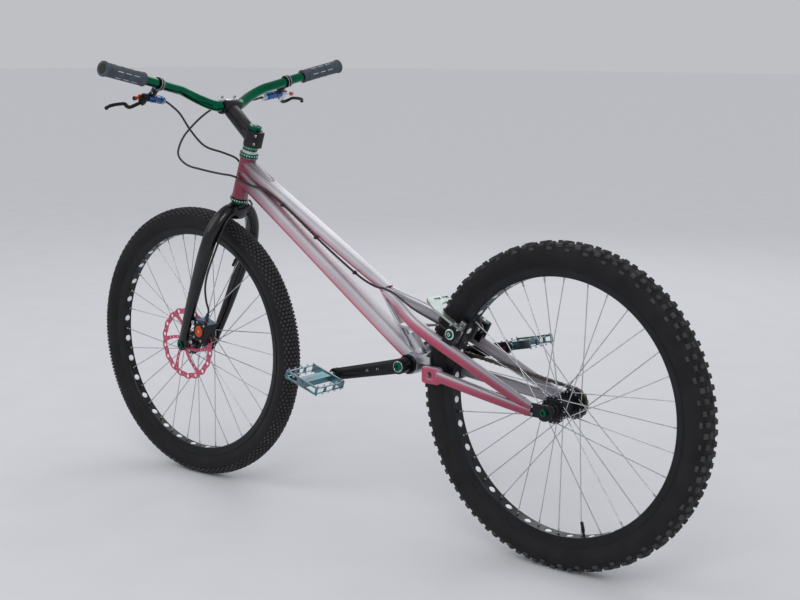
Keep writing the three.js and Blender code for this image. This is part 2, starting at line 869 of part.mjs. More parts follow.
const legShares = [
  [0, -0.1, 0, 0.75, 0.85], [0.015, -0.1, 0.3, 0.9, 0.95], [0.075, -0.05, 0.62, 1, 1],
    [0.155, 0, 0.86, 1, 1],
  [0.27, 0.03, 0.965, 1, 1], [0.434, 0.3, 0.917, 0.92, 0.93], [0.734, 0.65, 0.817, 0.76, 0.78],
  [0.955, 0.92, 0.69, 0.66, 0.6],
];
const legTop = -cupHeight - forkLegCrownDrop;
const legDrop = forkLength - forkLegCrownDrop;

function forkLegStations() {
  return legShares.map(([down, forward, out, depth, width]) => ({
    at: vec(forkOffset * forward, forkCrownSpread + (forkLegSpread - forkCrownSpread) * out,
      legTop - legDrop * down),
    width: forkLegWidth * width,
    height: forkLegDepth * depth,
  }));
}

function fork() {
  const axleDrop = -forkLength - cupHeight;
  const leg = loft(forkLegStations(), forkSections, 2);
  const dropoutInner = frontDropoutSpan * half;
  const dropout = crossRod(forkOffset, axleDrop, dropoutInner, dropoutInner + forkDropoutThickness,
    forkDropoutRadius);
  const reach = forkLegDepth * half;
  const web = box(forkOffset - forkDropoutRadius, forkOffset + forkDropoutRadius, dropoutInner,
    dropoutInner + forkDropoutThickness, axleDrop, axleDrop + reach);
  const inner = box(0, 2 * forkOffset, 0, dropoutInner, axleDrop - reach, axleDrop + reach);
  const side = join(cut(leg, inner), dropout, web);
  const crown = loft([[0, 0.6], [0.3, 0.95], [0.75, 1], [1, 0.75]].map(([share, size]) => ({
    at: vec(0, 0, -cupHeight - seatGap - crownHeight * share),
    width: crownWidth * size,
    height: crownDepth * size,
  })), forkSections, 2);
  const steererTop = stemClampStart + stemClampHeight - seatGap;
  const steerer = rod(vec(0, 0, -cupHeight - crownHeight * half), vec(0, 0, steererTop), steererRadius);
  const whole = join(side, mirrored(side), crown, steerer, mountTab(0, 0), mountTab(1, 0));
  const bolts = [0, 1].map((step) => {
    const drop = caliperBolt(step);
    return crossRod(drop.x, drop.z, dropoutInner - overrun, caliperOuter + overrun,
      mountBoltRadius + seatGap, pinSides);
  });
  const bore = rod(vec(0, 0, -cupHeight - crownHeight - 2 * overrun), vec(0, 0, steererTop + overrun),
    steererBore, pinSides);
  const hole = crossRod(forkOffset, axleDrop, -caliperOuter - overrun, caliperOuter + overrun,
    axleTipRadius + seatGap,
    hubSides);
  const cupSeat = turned([[steererRadius, -cupHeight], [crownWidth, -cupHeight],
    [crownWidth, headTubeLength],
    [steererRadius, headTubeLength]]);
  return cut(whole, bore, hole, cupSeat, ...bolts);
}

function mountTab(step, grow) {
  const drop = caliperBolt(step);
  const near = frontDropoutSpan * half + seatGap - grow;
  const far = near + mountTabThickness + 2 * grow;
  const reach = mountTabHalfHeight + grow;
  return join(
    box(drop.x, forkOffset, near, far, drop.z - reach, drop.z + reach),
    crossRod(drop.x, drop.z, near, far, reach, hubSides),
  );
}

// Caliper bolts: both sit on one line that runs parallel to the leg, behind it
function caliperBolt(step) {
  const drop = -forkLength - cupHeight + forkDropoutRadius + mountTabHalfHeight + mountTabSpacing * step;
  return vec(forkOffset - mountTabReach + mountTabLean * step, 0, drop);
}

add('fork', fork(), finishes.black, steering);

// Front caliper and pads

const caliperCentre = vec(forkOffset - caliperBack, 0,
  (caliperBolt(0).z + caliperBolt(1).z) * half + caliperRaise);

function caliper() {
  const body = box(caliperCentre.x - caliperLength * half, caliperCentre.x + caliperLength * half,
    caliperInner,
    caliperOuter, caliperCentre.z - caliperHeight * half, caliperCentre.z + caliperHeight * half);
  const earTop = frontDropoutSpan * half;
  const ears = [0, 1].map((step) => {
    const bolt = caliperBolt(step);
    const ear = crossRod(bolt.x, bolt.z, earTop - mountTabThickness, earTop, mountTabHalfHeight, hubSides);
    const inward = bolt.z < caliperCentre.z ? mountTabHalfHeight : -mountTabHalfHeight;
    const bridge = box(caliperCentre.x, bolt.x, earTop - mountTabThickness, earTop,
      Math.min(bolt.z - inward, bolt.z + 2 * inward), Math.max(bolt.z - inward, bolt.z + 2 * inward));
    const stud = crossRod(bolt.x, bolt.z, earTop - seatGap, earTop + 2 * mountTabThickness,
      mountBoltRadius, pinSides);
    const head = crossRod(bolt.x, bolt.z, earTop + mountTabThickness + 2 * seatGap,
      earTop + 2 * mountTabThickness, 2 * mountBoltRadius, pinSides);
    return join(ear, bridge, stud, head);
  });
  const tabClear = clearOfStuds(join(mountTab(0, seatGap), mountTab(1, seatGap)));
  const legClear = loft(forkLegStations(), forkSections, 2, seatGap);
  const slot = crossRod(forkOffset, -forkLength - cupHeight, rotorPlane - caliperSlot * half,
    rotorPlane + caliperSlot * half, rotorRadius + 2 * rotorThickness, 2 * hubSides);
  const pocketDepth = rotorThickness * half + discPadGap + discPadThickness + seatGap;
  const pocket = box(caliperCentre.x - padLength * half - seatGap,
    caliperCentre.x + padLength * half + seatGap,
    rotorPlane - pocketDepth, rotorPlane + pocketDepth,
    caliperCentre.z - padHeight * half - seatGap, caliperCentre.z + padHeight * half + seatGap);
  const cap = crossRod(caliperCentre.x - caliperCapInset, caliperCentre.z, caliperOuter - overrun,
    caliperOuter + rotorThickness, caliperCapRadius);
  const bodyTop = caliperCentre.z + caliperHeight * half;
  const banjoAt = vec(caliperCentre.x - banjoBack, caliperOuter - banjoInset, bodyTop);
  const banjo = rod(raised(banjoAt, -overrun), raised(banjoAt, banjoHeight), banjoRadius, pinSides);
  return cut(join(body, cap, banjo, ...ears), tabClear, slot, pocket, legClear);
}

function raised(point, rise) {
  return point.clone().add(vec(0, 0, rise));
}

// The tab space, kept open for the bolts that pass through it
function clearOfStuds(space) {
  const studs = [0, 1].map((step) => crossRod(caliperBolt(step).x, caliperBolt(step).z,
    caliperInner, caliperOuter + 2 * overrun, mountBoltRadius, pinSides));
  return cut(space, ...studs);
}

add('front_caliper', caliper(), finishes.blue, steering);

function discPad(side) {
  const near = rotorPlane + side * (rotorThickness * half + discPadGap);
  const far = near + side * discPadThickness;
  return box(caliperCentre.x - padLength * half, caliperCentre.x + padLength * half, Math.min(near, far),
    Math.max(near, far),
    caliperCentre.z - padHeight * half, caliperCentre.z + padHeight * half);
}

add('front_pad_left', discPad(1), finishes.pad, steering);
add('front_pad_right', discPad(-1), finishes.pad, steering);

// Stem, face plate and top cap

const stemTilt = Math.atan2(stemRise, stemReach);
const clampMiddle = stemClampStart + stemClampHeight * half;
const barCentre = vec(stemReach, 0, clampMiddle + stemRise);
const stemAlong = vec(Math.cos(stemTilt), 0, Math.sin(stemTilt));

function barBore(grow) {
  return crossRod(barCentre.x, barCentre.z, -barClampWidth, barClampWidth, barClampRadius + grow);
}

// Everything ahead of the face plate's parting line
function aheadOfSplit(offset) {
  const middle = barCentre.clone().addScaledVector(stemAlong, offset + barClampOuter);
  const block = box(-barClampOuter, barClampOuter, -barClampWidth, barClampWidth, -2 * barClampOuter,
    2 * barClampOuter);
  return block.rotateY(-stemTilt).translate(middle.x, middle.y, middle.z);
}

function stem() {
  const clamp = rod(vec(0, 0, stemClampStart), vec(0, 0, stemClampStart + stemClampHeight),
    stemClampRadius);
  const body = loft([0, 0.85].map((share) => ({
    at: vec(stemReach * share, 0, clampMiddle + stemRise * share),
    width: stemBodyWidth,
    height: stemBodyHeight,
  })), tubeSides, tubeSquareness);
  const ears = box(-stemClampRadius - overrun, 0, -stemClampRadius * half, stemClampRadius * half,
    stemClampStart + seatGap, stemClampStart + stemClampHeight - seatGap);
  const barClamp = crossRod(barCentre.x, barCentre.z, -barClampWidth * half, barClampWidth * half,
    barClampOuter);
  const bore = rod(vec(0, 0, stemClampStart - overrun),
    vec(0, 0, stemClampStart + stemClampHeight + overrun), boreGap);
  const capSeat = rod(vec(0, 0, stemClampStart + stemClampHeight),
    vec(0, 0, stemClampStart + 2 * stemClampHeight),
    topCapRadius + seatGap);
  return cut(join(clamp, body, ears, barClamp), bore, capSeat, barBore(seatGap),
    aheadOfSplit(facePlateSplit));
}

function facePlate() {
  const shell = crossRod(barCentre.x, barCentre.z, -barClampWidth * half, barClampWidth * half,
    barClampOuter);
  const window = crossRod(barCentre.x, barCentre.z, -barClampWidth * half + 2 * facePlateBoltInset,
    barClampWidth * half - 2 * facePlateBoltInset, 2 * barClampOuter);
  const upright = vec(-stemAlong.z, 0, stemAlong.x);
  const lugs = [];
  for (const [side, end] of [[1, 1], [1, -1], [-1, 1], [-1, -1]]) {
    const centre = barCentre.clone().addScaledVector(upright,
      side * (barClampOuter - facePlateBoltRadius * half));
    centre.y = end * (barClampWidth * half - facePlateBoltInset * half);
    lugs.push(rod(centre, centre.clone().addScaledVector(stemAlong, facePlateBoltLength),
      facePlateBoltRadius, pinSides));
  }
  const slots = cut(window, barBore(2 * rimWall));
  return cut(common(join(shell, ...lugs), aheadOfSplit(facePlateSplit + seatGap)), barBore(seatGap), slots);
}

add('stem', stem(), finishes.stem, steering);
add('stem_face_plate', facePlate(), finishes.machined, steering);
const capStart = stemClampStart + stemClampHeight + seatGap;
add('top_cap', join(
  rod(vec(0, 0, capStart), vec(0, 0, capStart + topCapHeight), topCapRadius),
  rod(vec(0, 0, capStart + topCapHeight * half), vec(0, 0, capStart + topCapHeight + topCapBoltHeight),
    topCapBoltRadius),
), finishes.green, steering);

// Handlebar and grips

const barShares = [
  [0, 0, 0, 1], [0.075, 0, 0, 1], [0.13, 0.025, 0.33, 1], [0.21, 0.13, 0.75, 0.96],
    [0.29, 0.26, 0.96, 0.92],
  [0.36, 0.37, 1, 0.88], [0.43, 0.44, 0.985, 0.874], [0.685, 0.7, 0.91, 0.874], [1, 1, 0.8, 0.874],
];
const gripShare = gripStart / barHalfWidth;

function barPoint(share, side) {
  const upper = barShares.findIndex(([out]) => out >= share);
  const [low, high] = [barShares[Math.max(upper - 1, 0)], barShares[upper]];
  const mix = high[0] > low[0] ? (share - low[0]) / (high[0] - low[0]) : 0;
  const rise = low[1] + (high[1] - low[1]) * mix;
  const sweep = low[2] + (high[2] - low[2]) * mix;
  return vec(barCentre.x + barSweep * sweep, side * barHalfWidth * share, barCentre.z + barRise * rise);
}

function handlebar() {
  const stations = [];
  const thin = barTubeRadius / barClampRadius;
  for (const side of [-1, 1]) {
    const shares = side < 0 ? [...barShares].reverse() : barShares.slice(1);
    for (const [out, , , thick] of shares) {
      const width = 2 * barClampRadius * Math.max(thick, thin);
      stations.push({ at: barPoint(out, side), width, height: width });
    }
  }
  return loft(stations, barSides, 2);
}

function grip() {
  const inner = barPoint(gripShare, 1);
  const outer = barPoint(1, 1);
  const along = outer.clone().sub(inner).normalize();
  const end = outer.clone().addScaledVector(along, gripEndWall);
  const body = rod(inner, end, gripRadius, hubSides);
  const flange = rod(end.clone().addScaledVector(along, -gripFlangeWidth), end, gripFlangeRadius, hubSides);
  const bore = rod(inner.clone().addScaledVector(along, -overrun),
    outer.clone().addScaledVector(along, seatGap),
    clearBore(barTubeRadius, hubSides), hubSides);
  return cut(join(body, flange), bore);
}

add('handlebar', handlebar(), finishes.green, steering);
add('grip_left', grip(), finishes.rubber, steering);
add('grip_right', mirrored(grip()), finishes.rubber, steering);

// Brake controls: drawn at the left bar end, X away from the bar and Y outward, then mirrored

const controls = new THREE.Group();
controls.position.copy(barPoint(controlSpread / barHalfWidth, 1));
controls.rotation.y = controlPitch;
const barDirection = barPoint(0.68, 1).sub(barPoint(0.5, 1)).normalize();

function masterCylinder() {
  const direction = barDirection.clone().applyAxisAngle(vec(0, 1, 0), -controlPitch);
  const origin = vec(0, 0, 0);
  const band = rod(origin.clone().addScaledVector(direction, -clampBandWidth * half),
    origin.clone().addScaledVector(direction, clampBandWidth * half), clampBandRadius, hubSides);
  const neck = box(barTubeRadius, cylinderNear, -neckWidth * half, neckWidth * half,
    -neckThickness * half, neckThickness * half);
  const body = rod(vec(cylinderReach, -cylinderInboard, 0), vec(cylinderNear, cylinderOutboard, 0),
    cylinderRadius, hubSides);
  const carrier = rod(vec(cylinderNear, cylinderOutboard - overrun, 0),
    vec(cylinderNear - overrun * half, leverPivotOut + overrun, 0), cylinderRadius * 0.8, hubSides);
  const earNear = leverHubHeight * half + seatGap;
  const ears = [1, -1].map((side) => {
    const from = Math.min(side * earNear, side * (earNear + leverEarThickness));
    const plate = box(cylinderNear - overrun, leverPivotReach, leverPivotOut - overrun,
      leverPivotOut + overrun,
      from, from + leverEarThickness);
    const round = rod(vec(leverPivotReach, leverPivotOut, from),
      vec(leverPivotReach, leverPivotOut, from + leverEarThickness),
      overrun, pinSides);
    return join(plate, round);
  });
  const pin = rod(vec(leverPivotReach, leverPivotOut, -earNear - leverEarThickness),
    vec(leverPivotReach, leverPivotOut, earNear + leverEarThickness), leverPinRadius, pinSides);
  const rodBase = vec(cylinderNear, leverPivotOut, -leverPinRadius);
  const knobBase = vec(cylinderNear, adjusterOut - adjusterLength * half, -leverPinRadius);
  const knobEnd = vec(cylinderNear, adjusterOut + adjusterLength * half, -leverPinRadius);
  const adjuster = join(rod(rodBase, knobEnd, adjusterRodRadius, pinSides),
    rod(knobBase, knobEnd, adjusterRadius, pinSides));
  const bore = rod(origin.clone().addScaledVector(direction, -3 * clampBandWidth),
    origin.clone().addScaledVector(direction, 3 * clampBandWidth), clearBore(barTubeRadius, hubSides),
      hubSides);
  const leverSpace = rod(vec(leverPivotReach, leverPivotOut, -earNear),
    vec(leverPivotReach, leverPivotOut, earNear),
    leverHubRadius + 2 * runningGap, hubSides);
  const solid = cut(join(band, neck, body, carrier, ...ears), bore, leverSpace);
  return inBike(join(solid, pin, adjuster), controls);
}

const leverShares = [
  [0, 0, 0.9], [0.1, 0.45, 1], [0.26, 0.95, 1], [0.4, 0.72, 0.95], [0.52, 0.3, 0.9],
  [0.75, 0.36, 0.9], [0.93, 0.6, 0.95], [1, 0.95, 0.8],
];

function brakeLever() {
  const stations = leverShares.map(([out, drop, size]) => ({
    at: vec(leverPivotReach + leverDrop * drop, leverPivotOut + leverSpan * out, 0),
    width: leverBladeThickness * size,
    height: leverBladeHeight * size,
  }));
  const blade = loft(stations, hubSides * half, 2.6);
  const top = vec(leverPivotReach, leverPivotOut, leverHubHeight * half);
  const bottom = vec(leverPivotReach, leverPivotOut, -leverHubHeight * half);
  const hubSolid = rod(bottom, top, leverHubRadius, hubSides);
  const space = box(leverPivotReach - overrun, leverPivotReach + 2 * overrun, leverPivotOut - 2 * overrun,
    leverPivotOut + 2 * overrun, leverHubHeight * half, 2 * leverHubHeight);
  const under = box(leverPivotReach - overrun, leverPivotReach + 2 * overrun, leverPivotOut - 2 * overrun,
    leverPivotOut + 2 * overrun, -2 * leverHubHeight, -leverHubHeight * half);
  const bore = rod(vec(leverPivotReach, leverPivotOut, -leverHubHeight),
    vec(leverPivotReach, leverPivotOut, leverHubHeight),
    leverPinRadius + seatGap, pinSides);
  return inBike(cut(join(blade, hubSolid), space, under, bore), controls);
}

add('master_cylinder_left', masterCylinder(), finishes.blue, steering);
add('master_cylinder_right', mirrored(masterCylinder()), finishes.blue, steering);
add('brake_lever_left', brakeLever(), finishes.black, steering);
add('brake_lever_right', mirrored(brakeLever()), finishes.black, steering);

// Frame tubes

const topTubeShares = [[0, 0.74, 0.78], [0.2, 0.9, 0.92], [0.5, 1, 1], [0.8, 1, 1.04], [1, 1, 1.08]];
const downTubeShares = [[0, 0.95, 0.92], [0.3, 1, 1], [0.75, 1, 1], [1, 0.98, 1.15]];

function straightStations(from, to, shares, width, height) {
  return shares.map(([along, wide, high]) => ({
    at: from.clone().lerp(to, along), width: width * wide, height: height * high,
  }));
}

const topTubeStations = straightStations(junction, headPoint(topTubeHeadShare), topTubeShares,
  topTubeWidth, topTubeHeight);
const downTubeStations = straightStations(bracketPoint, headPoint(downTubeHeadShare), downTubeShares,
  downTubeWidth, downTubeHeight);
const headClear = rod(headPoint(-half), headPoint(1 + half), headTubeRadius + seatGap);
const bracketClear = crossRod(bracketForward, bracketHeight, -bracketShellWidth, bracketShellWidth,
  bracketShellRadius + seatGap, bracketSides);

function topTube(grow) {
  return loft(topTubeStations, tubeSides, tubeSquareness, grow);
}

function topGusset() {
  const head = headPoint(topTubeHeadShare);
  const along = junction.clone().sub(head).normalize();
  const up = vec(along.z, 0, -along.x);
  const stations = [[0, 1, 1], [0.45, 0.75, 1], [0.9, 0.25, 0.9],
    [1, -0.6, 0.7]].map(([back, rise, wide]) => ({
    at: head.clone().addScaledVector(along, gussetLength * back)
      .addScaledVector(up, topTubeHeight * half + gussetRise * rise - gussetThickness * half),
    width: gussetWidth * wide,
    height: gussetThickness,
  }));
  return loft(stations, hubSides * half, tubeSquareness);
}

add('top_tube', cut(join(topTube(0), topGusset()), headClear), finishes.frame);
add('down_tube', cut(loft(downTubeStations, tubeSides, tubeSquareness), headClear, bracketClear,
  topTube(seatGap)),
  finishes.frameRose);

// Rear stays

const seatStayShares = [
  [0, 0.55, 0, 0.8, 0.66], [0.071, 0.6, 0.11, 0.92, 0.86], [0.153, 0.75, 0.394, 1, 1],
    [0.231, 0.9, 0.677, 1, 1],
  [0.318, 1, 0.859, 0.95, 1], [0.467, 0.9, 0.95, 0.9, 0.93], [0.7075, 0.65, 0.98, 0.85, 0.86],
  [0.92, 0.4, 1, 0.8, 0.76], [1, 0, 1, 0.7, 0.62],
];
const chainStayShares = [[0, 0, 0.9, 1], [0.1, 0.1, 1, 1], [0.5, 0.6, 1, 0.96], [0.88, 0.97, 0.9, 0.84],
  [1, 1, 0.75, 0.7]];
const stayStart = junction.clone().add(vec(-seatGap, stayRootSpread, 0));
const seatStayEnd = vec(stayEndForward, stayEndSpread, rearTyreRadius + seatStayEndRise);
const chainStayEnd = vec(stayEndForward, stayEndSpread, rearTyreRadius - chainStayEndDrop);
const blockMiddle = blockInner + blockWidth * half;
const blockCentreHeight = bracketHeight - blockDrop;

const seatStayStations = seatStayShares.map(([along, bow, out, wide, high]) => {
  const at = stayStart.clone().lerp(seatStayEnd, along);
  at.y = stayRootSpread + (stayEndSpread - stayRootSpread) * out;
  at.z -= stayBow * bow;
  return { at, width: seatStayWidth * wide, height: seatStayHeight * high };
});
const chainStayStart = vec(blockFront - blockLength, blockMiddle, blockCentreHeight);
const chainStayStations = chainStayShares.map(([along, out, wide, high]) => {
  const at = chainStayStart.clone().lerp(chainStayEnd, along);
  at.y = blockMiddle + (stayEndSpread - blockMiddle) * out;
  return { at, width: chainStayWidth * wide, height: chainStayHeight * high };
});

function seatStay(grow) {
  return loft(seatStayStations, staySections, staySquareness, grow);
}

function chainStay(grow) {
  return loft(chainStayStations, staySections, staySquareness, grow);
}

function chainStayWithBlock() {
  const low = blockCentreHeight - blockHeight * half;
  const block = box(blockFront - blockLength - overrun, blockFront, blockInner, blockInner + blockWidth,
    low, low + blockHeight);
  const slotCentre = blockFront - blockLength * half;
  const slotOutline = circlePoints(slotCentre, blockCentreHeight, slotWidth * half, hubSides,
    slotLength / slotWidth);
  const slot = sidePlate(slotOutline, blockInner - overrun, blockInner + blockWidth + overrun);
  return cut(join(block, chainStay(0)), slot);
}

const topTubeEnd = topTube(seatGap);
add('seat_stay_left', cut(seatStay(0), topTubeEnd), finishes.frameRose);
add('seat_stay_right', mirrored(cut(seatStay(0), topTubeEnd)), finishes.frame);
const chainStaySolid = cut(chainStayWithBlock(), seatStay(seatGap));
add('chain_stay_left', chainStaySolid, finishes.frameRose);
add('chain_stay_right', mirrored(chainStaySolid), finishes.frame);

// Dropouts and chain tugs

function dropout() {
  const inner = rearDropoutSpan * half;
  const height = dropoutFrontHeight * half;
  const round = circlePoints(0, rearTyreRadius, dropoutRadius,
    roundSides).filter(([x]) => x < dropoutRadius * half);
  const upper = round.filter(([, z]) => z >= rearTyreRadius);
  const lower = round.filter(([, z]) => z < rearTyreRadius);
  const outline = [
    [dropoutReach, rearTyreRadius - height], [dropoutReach, rearTyreRadius + height], ...upper, ...lower,
  ];
  const plate = sidePlate(outline, inner, inner + dropoutThickness);
  const slotEdge = axleTipRadius + seatGap;
  const slot = join(
    crossRod(0, rearTyreRadius, inner - overrun, inner + dropoutThickness + overrun, slotEdge),
    box(-2 * dropoutRadius, 0, inner - overrun, inner + dropoutThickness + overrun,
      rearTyreRadius - slotEdge, rearTyreRadius + slotEdge),
  );
  return cut(plate, slot, seatStay(seatGap), chainStay(seatGap));
}

function chainTug() {
  const inner = rearDropoutSpan * half + dropoutThickness + seatGap;
  const outline = [];
  for (let i = 0; i < tugSteps; i += 1) {
    const angle = fullTurn * i / tugSteps;
    const radius = tugRadius + tugSpiral * i / tugSteps;
    outline.push([radius * Math.cos(angle), rearTyreRadius + radius * Math.sin(angle)]);
  }
  const hole = crossRod(0, rearTyreRadius, inner - overrun, inner + tugThickness + overrun,
    axleTipRadius + seatGap);
  const plate = sidePlate(outline, inner, inner + tugThickness - seatGap);
  return cut(plate, hole, seatStay(seatGap), chainStay(seatGap));
}

add('dropout_left', dropout(), finishes.black);
add('dropout_right', mirrored(dropout()), finishes.black);
add('chain_tug_left', chainTug(), finishes.black);
add('chain_tug_right', mirrored(chainTug()), finishes.black);

// Bottom bracket yoke with its post

const seatLean = vec(Math.cos(seatTubeAngle), 0, Math.sin(seatTubeAngle));
const postBase = vec(bracketForward - postSetback, 0, bracketHeight);

function yokePlan() {
  const plateRise = bracketHeight + yokeTop - rearTyreRadius;
  const tyreFront = Math.sqrt(rearTyreRadius ** 2 - plateRise ** 2) + tyreClearance;
  const halfPlan = [
    [bracketForward + bracketShellRadius * half, yokeNose],
    [bracketForward - bracketShellRadius, yokeArmSpread], [bracketForward - yokeReach, yokeArmSpread],
    [bracketForward - yokeReach, yokeArmSpread - yokeArmWall],
      [tyreFront - 2 * tyreClearance, yokeArmSpread - yokeArmWall],
    [tyreFront, yokeNose * half],
  ];
  return [...halfPlan, ...[...halfPlan].reverse().map(([x, y]) => [x, -y])];
}

function yoke() {
  const shell = crossRod(bracketForward, bracketHeight, -bracketShellWidth * half, bracketShellWidth * half,
    bracketShellRadius, bracketSides);
  const plan = new THREE.Shape(yokePlan().map(([x, y]) => new THREE.Vector2(x, y)));
  const plate = new THREE.ExtrudeGeometry(plan, { depth: yokeThickness, bevelEnabled: false });
  plate.translate(0, 0, bracketHeight + yokeTop - yokeThickness);
  const topLevel = (yokeTop - seatGap) / seatLean.z;
  const foot = postBase.clone().addScaledVector(seatLean, topLevel);
  const post = rod(foot.clone().addScaledVector(seatLean, -overrun),
    foot.clone().addScaledVector(seatLean, postLength + overrun), postRadius);
  const flange = rod(foot.clone().addScaledVector(seatLean, -overrun * half),
    foot.clone().addScaledVector(seatLean, overrun + postFlangeHeight), postFlangeRadius);
  const bore = crossRod(bracketForward, bracketHeight, -bracketShellWidth, bracketShellWidth, bracketBore);
  const blockClear = box(0, blockFront + seatGap, -yokeArmSpread - overrun, yokeArmSpread + overrun,
    0, blockCentreHeight + blockHeight * half + seatGap);
  return cut(join(shell, plate, flange, post), bore, blockClear);
}

function downTubeClear() {
  return loft(downTubeStations, tubeSides, tubeSquareness, seatGap);
}

const cupFace = bracketShellWidth * half;
const cupClear = [-1, 1].map((side) => crossRod(bracketForward, bracketHeight,
  Math.min(side * cupFace, 2 * side * cupFace),
  Math.max(side * cupFace, 2 * side * cupFace), bracketCupRadius + seatGap));
const yokeSolid = cut(yoke(), cut(downTubeClear(), bracketClear), ...cupClear);
add('bottom_bracket_yoke', yokeSolid, finishes.machined);

function bracketCup(flange) {
  const face = bracketShellWidth * half;
  const skirtRadius = bracketBore - seatGap;
  const bore = crankAxleRadius + runningGap;
  return ring([
    [bore, face + flange], [bracketCupRadius, face + flange], [bracketCupRadius, face + seatGap],
    [skirtRadius, face + seatGap], [skirtRadius, face - bracketCupDepth], [bore, face - bracketCupDepth],
  ], roundSides);
}

add('bottom_bracket_cup_left', bracketCup(bracketCupFlange), finishes.black, cranks);
add('bottom_bracket_cup_right', mirrored(bracketCup(bracketCupThinFlange)), finishes.black, cranks);

// Seat tube with its cross brace

function seatTube() {
  const tubeAxisEnd = junction.clone().lerp(headPoint(topTubeHeadShare), 0.05);
  const length = tubeAxisEnd.distanceTo(bracketPoint);
  const end = bracketPoint.clone().addScaledVector(seatLean, length);
  const tube = loft(straightStations(bracketPoint, end, [[0, 1, 1], [1, 1, 1]], seatTubeWidth,
    seatTubeDepth),
    staySections, tubeSquareness);
  const level = bracketHeight + braceRise;
  const frontX = bracketForward + braceRise / Math.tan(seatTubeAngle);
  const braceOutline = new THREE.Shape([
    [frontX, seatTubeWidth * half], [frontX - braceRun, braceHalfWidth],
      [frontX - braceRun - overrun, braceHalfWidth],
    [frontX - braceRun * 0.6, 0], [frontX - braceRun - overrun, -braceHalfWidth],
      [frontX - braceRun, -braceHalfWidth],
    [frontX, -seatTubeWidth * half],
  ].map(([x, y]) => new THREE.Vector2(x, y)));
  const brace = new THREE.ExtrudeGeometry(braceOutline, { depth: braceThickness, bevelEnabled: false });
  brace.translate(0, 0, level);
  const stayClear = join(seatStay(seatGap), mirrored(seatStay(seatGap)));
  return cut(join(tube, brace), stayClear, topTube(seatGap), downTubeClear(), bracketClear, yokeGrown());
}

// The yoke's plate and post, enlarged by the seating gap
function yokeGrown() {
  const postEnd = postBase.clone().addScaledVector(seatLean, 2 * postLength + overrun);
  const post = rod(postBase, postEnd, postFlangeRadius + seatGap);
  const capped = common(post, box(0, wheelbase, -postFlangeRadius * 2, postFlangeRadius * 2, bracketHeight,
    bracketHeight + yokeTop + 2 * postFlangeHeight + overrun));
  const thin = rod(postBase, postEnd, postRadius + seatGap);
  const plate = box(0, bracketForward + yokeNose, -yokeArmSpread, yokeArmSpread, bracketHeight,
    bracketHeight + yokeTop + seatGap);
  return join(capped, thin, plate);
}

add('seat_tube', seatTube(), finishes.frameRose);

// Cranks and pedals, drawn for the left side and turned half a revolution for the right

function crankPoint(radius, y) {
  return vec(Math.cos(crankAngle) * radius, y, Math.sin(crankAngle) * radius);
}

function crankArm(bossInner) {
  const bossMiddle = (crankBossInner + crankBossOuter) * half + crankArmThickness * 0.3;
  const eyeMiddle = (crankEyeInner + crankEyeOuter) * half;
  const armShares = [[0, 1, 0, 1], [0.12, 0.98, 0.06, 1], [0.6, 0.84, 0.6, 0.93], [1, 0.8, 1, 0.8]];
  const stations = armShares.map(([along, size, out, thick]) => ({
    at: crankPoint(crankLength * along, bossMiddle + (eyeMiddle - bossMiddle) * out),
    width: crankArmThickness * thick,
    height: crankArmWidth * size,
  }));
  const arm = loft(stations, staySections, 3);
  const boss = crossRod(0, 0, bossInner, crankBossOuter, crankBossRadius);
  const tip = crankPoint(crankLength, 0);
  const eye = crossRod(tip.x, tip.z, crankEyeInner, crankEyeOuter, crankEyeRadius);
  const fluteStations = [[0.18, 0.2], [0.6, 0.64], [0.86, 0.9]].map(([along, out]) => ({
    at: crankPoint(crankLength * along,
      bossMiddle + (eyeMiddle - bossMiddle) * out + crankArmThickness * half),
    width: 2 * crankFluteDepth,
    height: crankFluteWidth,
  }));
  const flute = loft(fluteStations, hubSides * half, 2);
  const bore = crossRod(0, 0, bossInner - overrun, crankBossOuter + overrun, crankAxleRadius + seatGap);
  const eyeBore = crossRod(tip.x, tip.z, crankEyeInner - overrun, crankEyeOuter + overrun,
    pedalSpindleRadius + seatGap, hubSides);
  return cut(join(arm, boss, eye), flute, bore, eyeBore);
}

function otherSide(geometry) {
  return mirrored(geometry).rotateY(180 * degree);
}

add('crank_left', crankArm(crankBossInner), finishes.black, cranks);
add('crank_right', otherSide(crankArm(crankBossChainSide)), finishes.black, cranks);
const crankAxleEnd = crankBossOuter - crankBoltHeight;
add('crank_axle', join(
  crossRod(0, 0, -crankAxleEnd, crankAxleEnd, crankAxleRadius),
  crossRod(0, 0, -crankBossOuter, crankBossOuter, crankBoltRadius, hubSides),
), finishes.steel, cranks);
const freewheelRadius = frontPitchRadius - toothHeight - chainHeight * half - seatGap;
add('freewheel_sprocket', sprocketOnCrank(), finishes.steel, cranks);

function sprocketOnCrank() {
  const bore = crankBossRadius + runningGap;
  const bossRadius = Math.min(freewheelRadius, bore + freewheelWall);
  return sprocket(frontTeeth, bore, bossRadius);
}

function pedalPiece(geometry, pitch) {
  const tip = crankPoint(crankLength, 0);
  return geometry.rotateY(-pitch).translate(tip.x, 0, tip.z);
}

